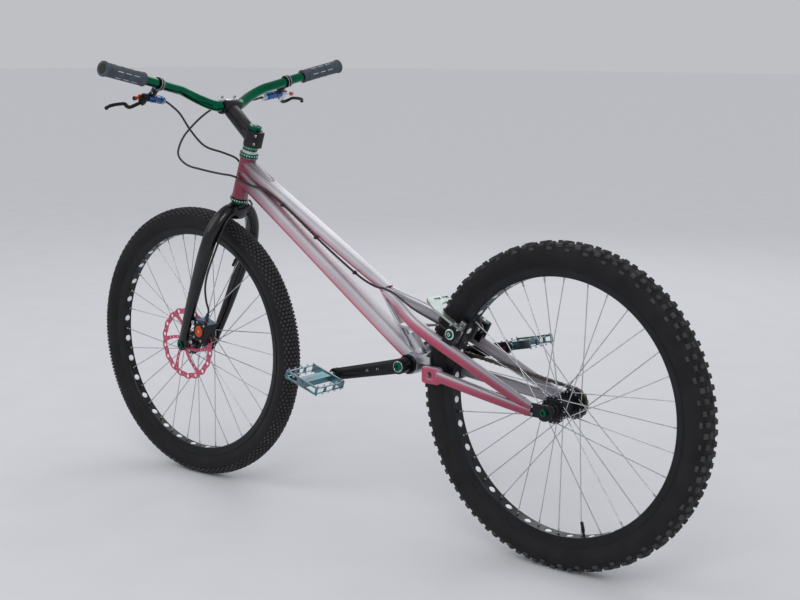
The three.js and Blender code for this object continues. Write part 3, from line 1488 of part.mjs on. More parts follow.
function pedalCage(pitch) {
  const [front, top] = [pedalLength * half, pedalHeight * half];
  const outer = pedalInner + pedalWidth;
  const block = box(-front, front, pedalInner, outer, -top, top);
  const hollows = [];
  const inFrom = pedalInner + pedalWall;
  const inTo = outer - pedalWall;
  for (const side of [1, -1]) {
    const near = side * (pedalBarrelRadius + pedalRibWidth * half);
    const far = side * (front - pedalWall);
    hollows.push(box(Math.min(near, far), Math.max(near, far), inFrom, inTo, -2 * top, 2 * top));
    const bay = (inTo - inFrom - 2 * pedalRibWidth) / 3;
    for (let i = 0; i < 3; i += 1) {
      const from = inFrom + i * (bay + pedalRibWidth);
      const reach = side * (front + overrun);
      hollows.push(box(Math.min(reach, near), Math.max(reach, near), from, from + bay,
        -pedalWindowHeight * half, pedalWindowHeight * half));
    }
    const windowNear = side * (pedalRingRadius + pedalRibWidth);
    hollows.push(box(Math.min(windowNear, far), Math.max(windowNear, far), inTo - overrun, outer + overrun,
      -pedalWindowHeight * half, pedalWindowHeight * half));
  }
  const slope = box(-front, front, inFrom, inTo, top * 0.75, 2 * top);
  const under = box(-front, front, inFrom, inTo, -2 * top, -top * 0.75);
  const cage = cut(block, ...hollows, slope, under);
  const barrel = crossRod(0, 0, pedalInner - pedalWall, outer + pedalWall * half,
    pedalBarrelRadius * 0.72, hubSides);
  const bore = crossRod(0, 0, pedalInner - 2 * overrun, outer - pedalWall,
    pedalSpindleRadius + runningGap, hubSides);
  return pedalPiece(cut(join(cage, barrel), bore), pitch);
}

function pedalSpindle() {
  const tip = pedalInner + pedalWidth - pedalWall - seatGap;
  const spindle = crossRod(0, 0, crankEyeInner, tip, pedalSpindleRadius, hubSides);
  const collar = crossRod(0, 0, crankEyeOuter + seatGap, pedalInner - pedalWall - seatGap,
    pedalCollarRadius, hubSides);
  return pedalPiece(join(spindle, collar), pedalPitch);
}

add('pedal_left', pedalCage(pedalPitch), finishes.pedal, cranks);
add('pedal_right', otherSide(pedalCage(rightPedalPitch)), finishes.pedal, cranks);
add('pedal_axle_left', pedalSpindle(), finishes.steel, cranks);
add('pedal_axle_right', otherSide(pedalSpindle()), finishes.steel, cranks);

// Rear rim brake: X runs out along the stay's brake line from the axle, Z across it

const stayInBrake = inGroup(seatStay(seatGap), rimBrake);

function slaveCylinder() {
  const body = crossRod(rimBrakeRadius, 0, slaveInner, slaveOuter, slaveRadius);
  const saddle = box(rimBrakeRadius - saddleLength * half, rimBrakeRadius + saddleLength * half,
    saddleInner, saddleInner + saddleWidth, -saddleDepth, slaveBlockTop);
  const bore = crossRod(rimBrakeRadius, 0, slaveInner - overrun, saddleInner + saddleWidth * half,
    slaveBore);
  return cut(join(body, saddle), bore, stayInBrake);
}

function rimPad() {
  const near = rearRimWidth * half + rimPadGap;
  const shoe = box(rimBrakeRadius - rimPadHeight * half, rimBrakeRadius + rimPadHeight * half, near,
    near + rimPadThickness,
    -rimPadLength * half, rimPadLength * half);
  const piston = crossRod(rimBrakeRadius, 0, near + rimPadThickness * half,
    near + rimPadThickness + rimPistonLength,
    rimPistonRadius);
  return join(shoe, piston);
}

function booster() {
  const foot = rimBrakeRadius - boosterFoot;
  const outerTop = rimBrakeRadius + boosterTop;
  const archTop = rimBrakeRadius + boosterArch;
  const innerEdge = boosterHalfWidth - boosterLegWidth;
  const halfOutline = [
    [foot, innerEdge], [foot, boosterHalfWidth], [outerTop - 2 * boosterShoulder, boosterHalfWidth],
    [outerTop - boosterShoulder * half, boosterHalfWidth - boosterShoulder * half],
    [outerTop, boosterHalfWidth - boosterShoulder],
  ];
  const arch = [];
  const archSteps = 8;
  for (let i = 0; i <= archSteps; i += 1) {
    const angle = Math.PI * i / archSteps;
    arch.push([archTop - innerEdge + innerEdge * Math.sin(angle), -innerEdge * Math.cos(angle)]);
  }
  const outline = [...halfOutline, ...[...halfOutline].reverse().map(([x, y]) => [x, -y]), ...arch];
  const shape = new THREE.Shape(outline.map(([x, y]) => new THREE.Vector2(x, y)));
  const plate = new THREE.ExtrudeGeometry(shape, { depth: boosterThickness, bevelEnabled: false });
  plate.translate(0, 0, slaveBlockTop + seatGap);
  const windowX = outerTop - boosterWindowHeight;
  const windows = [-1, 1].map((side) => box(windowX - boosterWindowHeight, windowX,
    side > 0 ? boosterWindowHeight * half : -boosterWindowHeight * half - boosterWindowLength,
    side > 0 ? boosterWindowHeight * half + boosterWindowLength : -boosterWindowHeight * half, 0,
      2 * slaveBlockTop));
  return cut(plate, ...windows);
}

add('rear_cylinder_left', slaveCylinder(), finishes.black, rimBrake);
add('rear_cylinder_right', mirrored(slaveCylinder()), finishes.black, rimBrake);
add('rear_pad_left', rimPad(), finishes.pad, rimBrake);
add('rear_pad_right', mirrored(rimPad()), finishes.pad, rimBrake);
add('brake_booster', booster(), finishes.booster, rimBrake);

// Hoses, as routes of points chosen along the photographed runs

const frontHosePoints = [
  [147.7, 163.7, 195.4], [147.5, 156, 193.4], [138, 141, 184], [126, 122, 168], [113, 90, 130],
    [93, 55, 98], [66, 16, 89], [45, -14, 78],
  [30, -23, 50], [27, -25, 20], [25, -28, 2], [14, -34, -10], [-6, -34, -11], [-23, -22, -14],
    [-27, -2, -18],
  [-25, 18, -24], [-23, 38, -34], [-24, 54, -56], [-24, 61, -84], [-20, 64, -125], [-12.5, 65, -178],
  [-10, 63, -210], [-9.5, 58, -235], [-15, 52, -262], [-24.4, 48.2, -281], [-25, 48, -291.9],
];
const rearLoopPoints = [
  [147.7, -163.7, 195.4], [148.6, -154, 193.4], [147, -136, 190], [151, -114, 186], [171.9, -80, 171.3],
    [189, -56, 160], [199, -30, 137.4],
  [199, 0, 112], [199, 25, 82], [193, 40, 54], [180, 48, 40], [158, 50, 32], [133, 50, 31], [102, 46, 35.6],
  [72, 42, 40.6], [36, 38, 48], [12, 35.5, 54], [-7.9, 32.1, 55.8],
];
const rearHosePoints = [
  [899, 32, 757], [887, 29.5, 751], [861, 25.5, 740.7], [824, 22.8, 734.4], [775.2, 22.3, 711.4],
    [716.2, 21.8, 674.4],
  [658.2, 21.8, 636.4], [591, 21.5, 594.4], [524, 21.5, 556.8], [480, 22, 541], [450, 24, 539],
    [420, 30, 533],
  [385, 40, 521], [345, 52, 509], [305, 58, 498], [275, 57.5, 487.5], [254.1, 56, 476],
];

add('front_brake_hose', hose(frontHosePoints), finishes.hose, steering);
add('rear_hose_loop', hose(rearLoopPoints), finishes.hose, steering);
add('rear_brake_hose', hose(rearHosePoints), finishes.hose);

export default bike;
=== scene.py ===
import math
import bmesh
import bpy
from mathutils import Matrix, Vector


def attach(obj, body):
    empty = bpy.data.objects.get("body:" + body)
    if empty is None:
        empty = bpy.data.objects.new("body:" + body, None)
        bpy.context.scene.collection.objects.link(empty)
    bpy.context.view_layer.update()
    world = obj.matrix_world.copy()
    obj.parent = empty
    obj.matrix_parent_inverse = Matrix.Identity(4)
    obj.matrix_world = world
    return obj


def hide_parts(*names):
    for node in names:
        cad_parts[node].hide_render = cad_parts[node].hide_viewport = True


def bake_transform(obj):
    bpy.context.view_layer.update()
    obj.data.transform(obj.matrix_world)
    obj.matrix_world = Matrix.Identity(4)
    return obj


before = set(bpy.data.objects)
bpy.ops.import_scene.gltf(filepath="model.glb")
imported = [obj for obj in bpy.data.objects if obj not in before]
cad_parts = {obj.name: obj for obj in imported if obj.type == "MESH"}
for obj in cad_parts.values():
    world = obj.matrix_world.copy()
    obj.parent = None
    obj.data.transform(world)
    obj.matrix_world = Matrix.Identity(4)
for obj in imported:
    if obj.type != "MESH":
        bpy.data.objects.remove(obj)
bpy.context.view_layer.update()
scene = bpy.context.scene
fullTurn = 2 * math.pi
toMetres = 0.001
mirrorY = Matrix.Scale(-1, 4, (0, 1, 0))
rowFrame = Matrix.Identity(4)
acrossBike = Vector((0, 1, 0))
print("frame loaded:", len(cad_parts), "nodes")


def spun(degrees, axis="Y"):
    return Matrix.Rotation(math.radians(degrees), 4, axis)


def moved(x, y, z):
    return Matrix.Translation((x, y, z))


# Layout of the bike in millimetres, the same numbers as the CAD
layout = {
    "shift": -536.5, "wheelbase": 1078, "frontRadius": 336, "rearRadius": 341,
    "bracket": (372, 0, 384), "headBase": (924.625, 0, 706.75), "lean": 18, "headTube": 102,
    "junction": (462, 0, 534.5), "rimBrakeAngle": 28,
}
bikeAt = moved(layout["shift"], 0, 0)
steerAt = bikeAt @ moved(*layout["headBase"]) @ spun(-layout["lean"])
frontAt = bikeAt @ moved(layout["wheelbase"], 0, layout["frontRadius"])
rearAt = bikeAt @ moved(0, 0, layout["rearRadius"])
cranksAt = bikeAt @ moved(*layout["bracket"])
rimBrakeAt = rearAt @ spun(-layout["rimBrakeAngle"])
headUp = Vector((-math.sin(math.radians(layout["lean"])), 0, math.cos(math.radians(layout["lean"]))))
headBase = Vector(layout["headBase"])
bracket = Vector(layout["bracket"])
junction = Vector(layout["junction"])

# Camera, solved on the photograph: behind the bike's left rear quarter
cameraSettings = {
    "place": (-2.101757, 2.437952, 1.058326), "azimuth": -50.7322, "elevation": -9.8150,
    "roll": 0.2522, "lens": 65.357, "sensor": 36, "near": 0.05, "far": 80,
}


def makeCamera(s):
    az, el = math.radians(s["azimuth"]), math.radians(s["elevation"])
    look = Vector((math.cos(el) * math.cos(az), math.cos(el) * math.sin(az), math.sin(el)))
    data = bpy.data.cameras.new("camera")
    data.lens, data.sensor_width = s["lens"], s["sensor"]
    data.clip_start, data.clip_end = s["near"], s["far"]
    camera = bpy.data.objects.new("camera", data)
    camera.rotation_mode = "QUATERNION"
    camera.location = s["place"]
    camera.rotation_quaternion = look.to_track_quat("-Z", "Y") @ spun(s["roll"], "Z").to_quaternion()
    scene.collection.objects.link(camera)
    scene.camera = camera


makeCamera(cameraSettings)


def toLinear(hexColour):
    parts = [int(hexColour[i:i + 2], 16) / 255 for i in (1, 3, 5)]
    return tuple(c / 12.92 if c <= 0.04045 else ((c + 0.055) / 1.055) ** 2.4 for c in parts) + (1,)


def addNode(tree, kind, settings=None, links=None):
    made = tree.nodes.new(kind)
    for key, value in (settings or {}).items():
        if isinstance(key, str) and key in made.bl_rna.properties:
            setattr(made, key, value)
        else:
            made.inputs[key].default_value = value
    for key, source in (links or {}).items():
        tree.links.new(source, made.inputs[key])
    return made


shaderSockets = {"metallic": "Metallic", "coat": "Coat Weight", "coatRoughness": "Coat Roughness",
                 "sheen": "Sheen Weight", "specular": "Specular IOR Level"}


# Every finish is built the same way: two shades in soft patches, a grain that moves the gloss and lifts the
# surface, and settings that come from the real material. Sizes are in millimetres.
def makeMaterial(name, colours, s):
    material = bpy.data.materials.new(name)
    material.use_nodes = True
    tree = material.node_tree
    shader = tree.nodes["Principled BSDF"]
    for key, socket in shaderSockets.items():
        if key in s:
            shader.inputs[socket].default_value = s[key]
    place = addNode(tree, "ShaderNodeTexCoord")
    patches = addNode(tree, "ShaderNodeTexNoise", {"Scale": 1 / (s["patch"] * toMetres), "Detail": 4.0},
                      {"Vector": place.outputs["Object"]})
    turned = addNode(tree, "ShaderNodeMapping", {"Scale": s.get("stretch", (1, 1, 1))},
                     {"Vector": place.outputs["Object"]})
    grain = addNode(tree, "ShaderNodeTexNoise", {"Scale": 1 / (s["grain"] * toMetres), "Detail": 3.0},
                    {"Vector": turned.outputs["Vector"]})
    share = addNode(tree, "ShaderNodeMapRange", {"From Min": 0.35, "From Max": 0.65},
                    {"Value": patches.outputs["Fac"]})
    shades = {6: toLinear(colours[0]), 7: toLinear(colours[1])}
    colour = addNode(tree, "ShaderNodeMix", {"data_type": "RGBA", **shades},
                     {"Factor": share.outputs["Result"]})
    gloss = addNode(tree, "ShaderNodeMapRange",
                    {"From Min": 0.3, "From Max": 0.7, "To Min": s["roughness"] - s["spread"],
                     "To Max": s["roughness"] + s["spread"]}, {"Value": grain.outputs["Fac"]})
    lift = addNode(tree, "ShaderNodeBump", {"Strength": s["strength"], "Distance": s["depth"] * toMetres},
                   {"Height": grain.outputs["Fac"]})
    tree.links.new(colour.outputs[2], shader.inputs["Base Color"])
    tree.links.new(gloss.outputs["Result"], shader.inputs["Roughness"])
    tree.links.new(lift.outputs["Normal"], shader.inputs["Normal"])
    return material, tree, shader, {"place": place, "colour": colour, "lift": lift}


finishes = {}

# Satin clear-coated aluminium: silver with fine flake. It fades to pink where a tube turns down or outwards,
# which is painted pink light, and darker towards the rear axle and the head tube, which is painted shade. Places
# are in metres.
paintSettings = {
    # the pink is painted pink light; the rear and head colours are painted shade
    "colours": ("#cfccd2", "#c2bfc6"), "rose": "#cc5271", "rear": "#7d7780", "head": "#6f5562",
    "pinkLightBelow": -0.85,
    "metal": {"metallic": 0.5, "roughness": 0.34, "spread": 0.05, "coat": 0.3, "coatRoughness": 0.22,
              "patch": 160, "grain": 0.9, "depth": 0.04, "strength": 0.12},
    # how much an outward face takes the painted pink light, out on the stays and forward at the head
    "pinkLightOnStay": {"From Min": 0.02, "From Max": 0.034, "To Min": 0.2, "To Max": 0.46},
    "pinkLightOnHead": {"From Min": 0.33, "From Max": 0.36, "To Min": 0.0, "To Max": 0.35},
    "pinkLightShare": {"interpolation_type": "SMOOTHSTEP", "From Min": 0.06, "From Max": 0.5},
    # painted shade: the colour darkens towards the rear axle and towards the head tube
    "rearShare": {"From Min": -0.1, "From Max": -0.44, "To Max": 0.62},
    "headShare": {"From Min": 0.235, "From Max": 0.335, "To Max": 0.74},
}


def makePaint(s):
    paint, tree, shader, parts = makeMaterial("satinSilverWithPaintedLightAndShade", s["colours"], s["metal"])
    place = parts["place"].outputs
    # Painted pink light: faces turning down, and faces turning outwards on the stays and at the head, fade to
    # pink
    facing = addNode(tree, "ShaderNodeSeparateXYZ", links={"Vector": place["Normal"]}).outputs
    spot = addNode(tree, "ShaderNodeSeparateXYZ", links={"Vector": place["Object"]}).outputs
    half = addNode(tree, "ShaderNodeMath", {"operation": "SIGN"}, {"Value": spot["Y"]})
    outwards = addNode(tree, "ShaderNodeMath", {"operation": "MULTIPLY"},
                       {0: facing["Y"], 1: half.outputs[0]})
    aside = addNode(tree, "ShaderNodeMath", {"operation": "ABSOLUTE"}, {"Value": spot["Y"]})
    pinkLightOnStay = addNode(tree, "ShaderNodeMapRange", s["pinkLightOnStay"], {"Value": aside.outputs[0]})
    pinkLightOnHead = addNode(tree, "ShaderNodeMapRange", s["pinkLightOnHead"], {"Value": spot["X"]})
    reach = addNode(tree, "ShaderNodeMath", {"operation": "ADD"},
                    {0: pinkLightOnStay.outputs[0], 1: pinkLightOnHead.outputs[0]})
    outer = addNode(tree, "ShaderNodeMath", {"operation": "MULTIPLY"},
                    {0: outwards.outputs[0], 1: reach.outputs[0]})
    lower = addNode(tree, "ShaderNodeMath", {"operation": "MULTIPLY", 1: s["pinkLightBelow"]}, {0: facing["Z"]})
    both = addNode(tree, "ShaderNodeMath", {"operation": "ADD"},
                   {0: outer.outputs[0], 1: lower.outputs[0]})
    share = addNode(tree, "ShaderNodeMapRange", s["pinkLightShare"], {"Value": both.outputs[0]})
    colour = addNode(tree, "ShaderNodeMix", {"data_type": "RGBA", 7: toLinear(s["rose"])},
                     {"Factor": share.outputs["Result"], 6: parts["colour"].outputs[2]})
    # painted shade, multiplied in towards the rear axle and the head tube
    for end in ("rear", "head"):
        share = addNode(tree, "ShaderNodeMapRange", s[end + "Share"], {"Value": spot["X"]})
        colour = addNode(tree, "ShaderNodeMix",
                         {"data_type": "RGBA", "blend_type": "MULTIPLY", 7: toLinear(s[end])},
                         {"Factor": share.outputs["Result"], 6: colour.outputs[2]})
    tree.links.new(colour.outputs[2], shader.inputs["Base Color"])
    return paint


finishes["paint"] = makePaint(paintSettings)

# Anodised aluminium: dyed metal with an even satin gloss, the start of most small parts' finishes
anodised = {"metallic": 0.85, "roughness": 0.3, "spread": 0.06, "patch": 20, "grain": 0.7, "depth": 0.02,
            "strength": 0.2}
finishSettings = {
    # anodised aluminium, turned and dyed: a clear green with the metal's gloss
    "green": ("anodisedGreenAluminium", ("#07694a", "#055a40"), {
        "metallic": 1, "roughness": 0.12, "spread": 0.03, "coat": 0.1, "coatRoughness": 0.04, "patch": 60,
        "grain": 0.8, "depth": 0.01, "strength": 0.1, "stretch": (1, 12, 1)}),
    # gloss enamel on the fork: black with a hard clear reflection and faint orange peel
    "gloss": ("glossBlackEnamel", ("#060709", "#0b0b0f"), {
        "roughness": 0.17, "spread": 0.04, "coat": 0.25, "coatRoughness": 0.06, "specular": 0.35, "patch": 90,
        "grain": 2.5, "depth": 0.02, "strength": 0.2}),
    # black anodised aluminium: dark, a little grey where it was bead blasted
    "black": ("anodisedBlackAluminium", ("#111215", "#1a1b1f"), {
        "metallic": 0.4, "roughness": 0.32, "specular": 0.4, "spread": 0.07, "patch": 30, "grain": 0.7,
        "depth": 0.03, "strength": 0.25}),
    # tyre rubber, moulded: near black, dusty in soft patches, with a fine skin
    "tyre": ("mouldedTyreRubber", ("#101012", "#1a191b"), {
        "roughness": 0.66, "spread": 0.1, "specular": 0.28, "patch": 45, "grain": 1.1, "depth": 0.18,
        "strength": 0.5}),
    # tread blocks, the same rubber painted lighter all over, a painted highlight for the light the knobs catch
    # against shaded gaps
    "tread": ("treadRubberPaintedHighlight", ("#333235", "#424144"), {
        "roughness": 0.72, "spread": 0.1, "specular": 0.3, "patch": 30, "grain": 1.1, "depth": 0.15,
        "strength": 0.5}),
    # foam grip: slate blue-grey, open cells that catch the light
    "foam": ("closedCellFoam", ("#343b44", "#434c57"), {
        "roughness": 0.82, "spread": 0.08, "sheen": 0.15, "patch": 12, "grain": 1.2, "depth": 0.25,
        "strength": 0.6}),
    "rim": ("blackAnodisedRim", ("#121216", "#1a1b20"), {
        **anodised, "metallic": 0.5, "patch": 50, "grain": 0.8}),
    # polished stainless wire and screws: bright, drawn lengthwise
    "steel": ("stainlessSteel", ("#c9cdd0", "#b4b9be"), {
        "metallic": 1, "roughness": 0.24, "spread": 0.07, "patch": 15, "grain": 0.5, "depth": 0.01,
        "strength": 0.2}),
    # brake disc, ground flat: steel painted pink for the pink light it reflects, a painted reflection, with
    # round grinding marks
    "rotor": ("steelPaintedPinkReflection", ("#d0607a", "#bd5570"), {
        "metallic": 0.75, "roughness": 0.34, "spread": 0.09, "patch": 20, "grain": 0.7, "depth": 0.02,
        "strength": 0.25, "stretch": (1, 0.2, 6)}),
    "stemGrey": ("darkGreyAnodising", ("#272628", "#302e31"), {
        **anodised, "metallic": 0.7, "roughness": 0.34, "patch": 25}),
    # machined aluminium: pale, with the cutter's lines close together
    "machined": ("machinedAluminium", ("#d2d4d6", "#c2c5c9"), {
        "metallic": 0.9, "roughness": 0.3, "spread": 0.07, "patch": 18, "grain": 0.9, "depth": 0.03,
        "strength": 0.3, "stretch": (1, 1, 9)}),
    # blasted and clear-anodised parts of the frame: soft silver without flake
    "satin": ("satinAnodisedAluminium", ("#c9c9ce", "#bcbdc4"), {
        **anodised, "metallic": 0.8, "roughness": 0.36, "patch": 40, "depth": 0.03}),
    # pedals: silver aluminium with painted teal light in its patches, standing in for a cyan lamp's light
    "pedal": ("silverAluminiumPaintedTealLight", ("#4c858d", "#717f88"), {
        **anodised, "metallic": 0.9, "spread": 0.07, "patch": 34, "grain": 0.8, "depth": 0.03,
        "strength": 0.25}),
    "booster": ("paleGreenAluminium", ("#bfc7c4", "#a2b1aa"), {
        **anodised, "patch": 25, "grain": 0.8}),
    "blue": ("anodisedBlueAluminium", ("#3e77b4", "#346499"), {
        **anodised, "metallic": 1, "roughness": 0.26, "spread": 0.05}),
    "caliperBlue": ("darkBlueAnodising", ("#2f3f54", "#3a4c63"), anodised),
    "orange": ("anodisedOrangeAluminium", ("#df5a20", "#c94c18"), {
        **anodised, "spread": 0.05, "patch": 10, "grain": 0.6}),
    # hose: extruded nylon, smooth black with a slight waxy gloss
    "hose": ("extrudedNylonHose", ("#171618", "#1f1d20"), {
        "roughness": 0.42, "spread": 0.06, "patch": 30, "grain": 1.5, "depth": 0.03, "strength": 0.2}),
    "pad": ("sinteredBrakePad", ("#3b3a3c", "#4a4644"), {
        "roughness": 0.8, "spread": 0.08, "patch": 4, "grain": 0.8, "depth": 0.15, "strength": 0.6}),
    # chain steel, oiled: brown-grey with duller patches
    "chain": ("oiledChainSteel", ("#766d64", "#5b534c"), {
        "metallic": 0.9, "roughness": 0.4, "spread": 0.1, "patch": 8, "grain": 0.8, "depth": 0.03,
        "strength": 0.3}),
    "paleMark": ("paleGripPrint", ("#b4c3d0", "#9fb0c0"), {
        "roughness": 0.6, "spread": 0.08, "patch": 8, "grain": 1.0, "depth": 0.08, "strength": 0.4}),
    "darkRed": ("darkRedAnodising", ("#5a1e24", "#3c171b"), {
        **anodised, "metallic": 0.8, "patch": 10}),
}
for key, (name, colours, settings) in finishSettings.items():
    finishes[key] = makeMaterial(name, colours, settings)[0]

# Rim strip: woven nylon tape, white. The threads are drawn 0.9 mm apart so that they show.
stripSettings = {
    "colours": ("#f4f6fa", "#e8ecf2"), "thread": 0.9, "waveLength": 0.314,
    "cloth": {"roughness": 0.62, "spread": 0.05, "sheen": 0.1, "patch": 30, "grain": 0.9, "depth": 0.06,
              "strength": 0.3},
}


def makeStrip(s):
    strip, tree, _, parts = makeMaterial("wovenNylonTape", s["colours"], s["cloth"])
    scale = s["waveLength"] / (s["thread"] * toMetres)
    threads = [addNode(tree, "ShaderNodeTexWave", {"bands_direction": way, "Scale": scale},
                       {"Vector": parts["place"].outputs["Object"]}) for way in ("Y", "DIAGONAL")]
    weave = addNode(tree, "ShaderNodeMath", {"operation": "MULTIPLY"},
                    {0: threads[0].outputs["Fac"], 1: threads[1].outputs["Fac"]})
    tree.links.new(weave.outputs["Value"], parts["lift"].inputs["Height"])
    return strip


finishes["strip"] = makeStrip(stripSettings)
print("finishes made:", len(finishes))


# Shape helpers. Everything is modelled in millimetres and made metres when the piece is finished.

def putInto(bm, part, at=None, finish=0):
    if at is not None:
        part.transform(at)
    for face in part.faces:
        face.material_index = finish
    mesh = bpy.data.meshes.new("part")
    part.to_mesh(mesh)
    part.free()
    bm.from_mesh(mesh)
    bpy.data.meshes.remove(mesh)


def makePiece(name, bm, at, kinds, body, replaced=(), smooth=36):
    bmesh.ops.remove_doubles(bm, verts=bm.verts, dist=0.001)
    bm.transform(Matrix.Scale(toMetres, 4) @ at)
    bmesh.ops.recalc_face_normals(bm, faces=bm.faces)
    mesh = bpy.data.meshes.new(name)
    bm.to_mesh(mesh)
    bm.free()
    kinds = kinds if isinstance(kinds, (list, tuple)) else [kinds]
    for kind in kinds:
        mesh.materials.append(finishes[kind])
    mesh.polygons.foreach_set("use_smooth", [True] * len(mesh.polygons))
    mesh.set_sharp_from_angle(angle=math.radians(smooth))
    piece = bpy.data.objects.new(name, mesh)
    scene.collection.objects.link(piece)
    if body:
        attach(piece, body)
    if replaced:
        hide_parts(*replaced)
    return piece


def turnedShape(profile, steps=48, closed=False):
    bm = bmesh.new()
    points = [bm.verts.new((r, y, 0)) for r, y in profile]
    for a, b in zip(points, points[1:]):
        bm.edges.new((a, b))
    if closed:
        bm.edges.new((points[-1], points[0]))
    bmesh.ops.spin(bm, geom=bm.verts[:] + bm.edges[:], cent=(0, 0, 0), axis=(0, 1, 0), angle=fullTurn,
                   steps=steps, use_merge=True)
    bmesh.ops.remove_doubles(bm, verts=bm.verts, dist=0.001)
    return bm


def disc(radius, low, high, steps=32, bevel=0.6, bore=0):
    b = min(bevel, abs(high - low) / 2.2, radius / 2)
    if bore:
        loop = [(bore, low + b), (bore + b, low), (radius - b, low), (radius, low + b), (radius, high - b),
                (radius - b, high), (bore + b, high), (bore, high - b)]
        return turnedShape(loop, steps, closed=True)
    return turnedShape([(0, low), (radius - b, low), (radius, low + b), (radius, high - b),
                        (radius - b, high), (0, high)], steps)


def aim(start, end):
    run = Vector(end) - Vector(start)
    return Matrix.Translation(Vector(start)) @ run.to_track_quat("Y", "Z").to_matrix().to_4x4()


def between(start, end, radius, steps=16, bevel=0.5, bore=0):
    part = disc(radius, 0, (Vector(end) - Vector(start)).length, steps, bevel, bore)
    part.transform(aim(start, end))
    return part


def block(low, high, bevel=0.8, segments=2):
    bm = bmesh.new()
    low, high = Vector(low), Vector(high)
    size = high - low
    bmesh.ops.create_cube(bm, size=1, matrix=Matrix.Translation((low + high) / 2)
                          @ Matrix.Diagonal((size.x, size.y, size.z, 1)))
    if bevel:
        bmesh.ops.bevel(bm, geom=bm.edges[:], offset=bevel, affect="EDGES", segments=segments, profile=0.5,
                        material=-1)
    return bm


# A flat shape in X and Z, from one Y to another, with round holes (x, z, radius)
def cutPlate(outline, low, high, holes=(), bevel=0.5, loops=()):
    bm = bmesh.new()
    rounds = [[(x + r * math.cos(k * fullTurn / n), z + r * math.sin(k * fullTurn / n)) for k in range(n)]
              for x, z, r in holes for n in [10 if r < 4 else 20]]
    for loop in [outline, *rounds, *loops]:
        points = [bm.verts.new((x, low, z)) for x, z in loop]
        for a, b in zip(points, points[1:] + points[:1]):
            bm.edges.new((a, b))
    bmesh.ops.triangle_fill(bm, use_beauty=True, edges=bm.edges[:])
    made = bmesh.ops.extrude_face_region(bm, geom=bm.faces[:], use_keep_orig=True)
    raised = [v for v in made["geom"] if isinstance(v, bmesh.types.BMVert)]
    bmesh.ops.translate(bm, verts=raised, vec=(0, high - low, 0))
    bmesh.ops.recalc_face_normals(bm, faces=bm.faces)
    bmesh.ops.dissolve_limit(bm, angle_limit=0.02, verts=bm.verts, edges=bm.edges)
    if bevel:
        sharp = [e for e in bm.edges if len(e.link_faces) == 2 and e.calc_face_angle(0) > 1.2
                 and abs(e.verts[0].co.y - e.verts[1].co.y) < 0.01]
        bmesh.ops.bevel(bm, geom=sharp, offset=bevel, affect="EDGES", segments=2, profile=0.5, material=-1,
                        clamp_overlap=True)
    return bm


# Rows of numbers made smooth, with a few steps between each two
def eased(rows, steps=4):
    made = []
    for k in range(len(rows) - 1):
        a, b, c, d = (rows[min(max(i, 0), len(rows) - 1)] for i in (k - 1, k, k + 1, k + 2))
        for n in range(steps):
            t = n / steps
            made.append([0.5 * (2 * q + (r - p) * t + (2 * p - 5 * q + 4 * r - s) * t * t
                                + (3 * q - p - 3 * r + s) * t ** 3) for p, q, r, s in zip(a, b, c, d)])
    return made + [list(rows[-1])]


# A closed tube of rings, each drawn from the one before. place(k, angle) gives a point of ring k.
def ringed(count, sides, place, loop=False):
    bm = bmesh.new()
    turn = bm.verts.layers.int.new("turn")
    verts = bmesh.ops.create_circle(bm, segments=sides, radius=1)["verts"]
    for k, vert in enumerate(verts):
        vert[turn] = k
    edges = firstEdges = bm.edges[:]
    for k in range(count):
        if k:
            made = bmesh.ops.extrude_edge_only(bm, edges=edges)["geom"]
            verts = [g for g in made if isinstance(g, bmesh.types.BMVert)]
            edges = [e for e in made if isinstance(e, bmesh.types.BMEdge)
                     and all(v in verts for v in e.verts)]
        for vert in verts:
            vert.co = place(k, fullTurn * vert[turn] / sides)
    if loop:
        bmesh.ops.bridge_loops(bm, edges=edges + firstEdges)
    else:
        bmesh.ops.contextual_create(bm, geom=edges)
        bmesh.ops.contextual_create(bm, geom=firstEdges)
    bmesh.ops.recalc_face_normals(bm, faces=bm.faces)
    return bm


# A tube through stations (centre, width, height), rounder or squarer in section. It has one side for its
# whole length, so that its sections don't twist where it bends.
def lofted(stations, sides=28, squareness=2.0):
    run = (stations[-1][0] - stations[0][0]).normalized()
    side = Vector((0, 0, 1)) if abs(run.y) > 0.9 else Vector((0, 1, 0))

    def place(k, angle):
        centre, width, height = stations[k]
        along = (stations[min(k + 1, len(stations) - 1)][0] - stations[max(k - 1, 0)][0]).normalized()
        across = (side - along * side.dot(along)).normalized()
        c, s = math.cos(angle), math.sin(angle)
        x = math.copysign(abs(c) ** (2 / squareness), c) * width / 2
        z = math.copysign(abs(s) ** (2 / squareness), s) * height / 2
        return centre + across * x + along.cross(across) * z

    return ringed(len(stations), sides, place)


# A round tube along points, its frame carried from one to the next so that it doesn't twist
def swept(points, radius, sides=12, loop=False, ripple=0.0, waves=0):
    count = len(points)
    frames, across = [], None
    for k in range(count):
        before = points[k - 1] if k or loop else points[0]
        after = points[(k + 1) % count] if loop or k < count - 1 else points[-1]
        along = (after - before).normalized()
        guess = across or (Vector((0, 1, 0)) if abs(along.y) < 0.9 else Vector((0, 0, 1)))
        across = (guess - along * guess.dot(along)).normalized()
        frames.append((across, along.cross(across)))

    def place(k, angle):
        right, up = frames[k]
        r = radius * (1 + ripple * math.cos(fullTurn * k * waves / count))
        return points[k] + (right * math.cos(angle) + up * math.sin(angle)) * r

    return ringed(count, sides, place, loop)


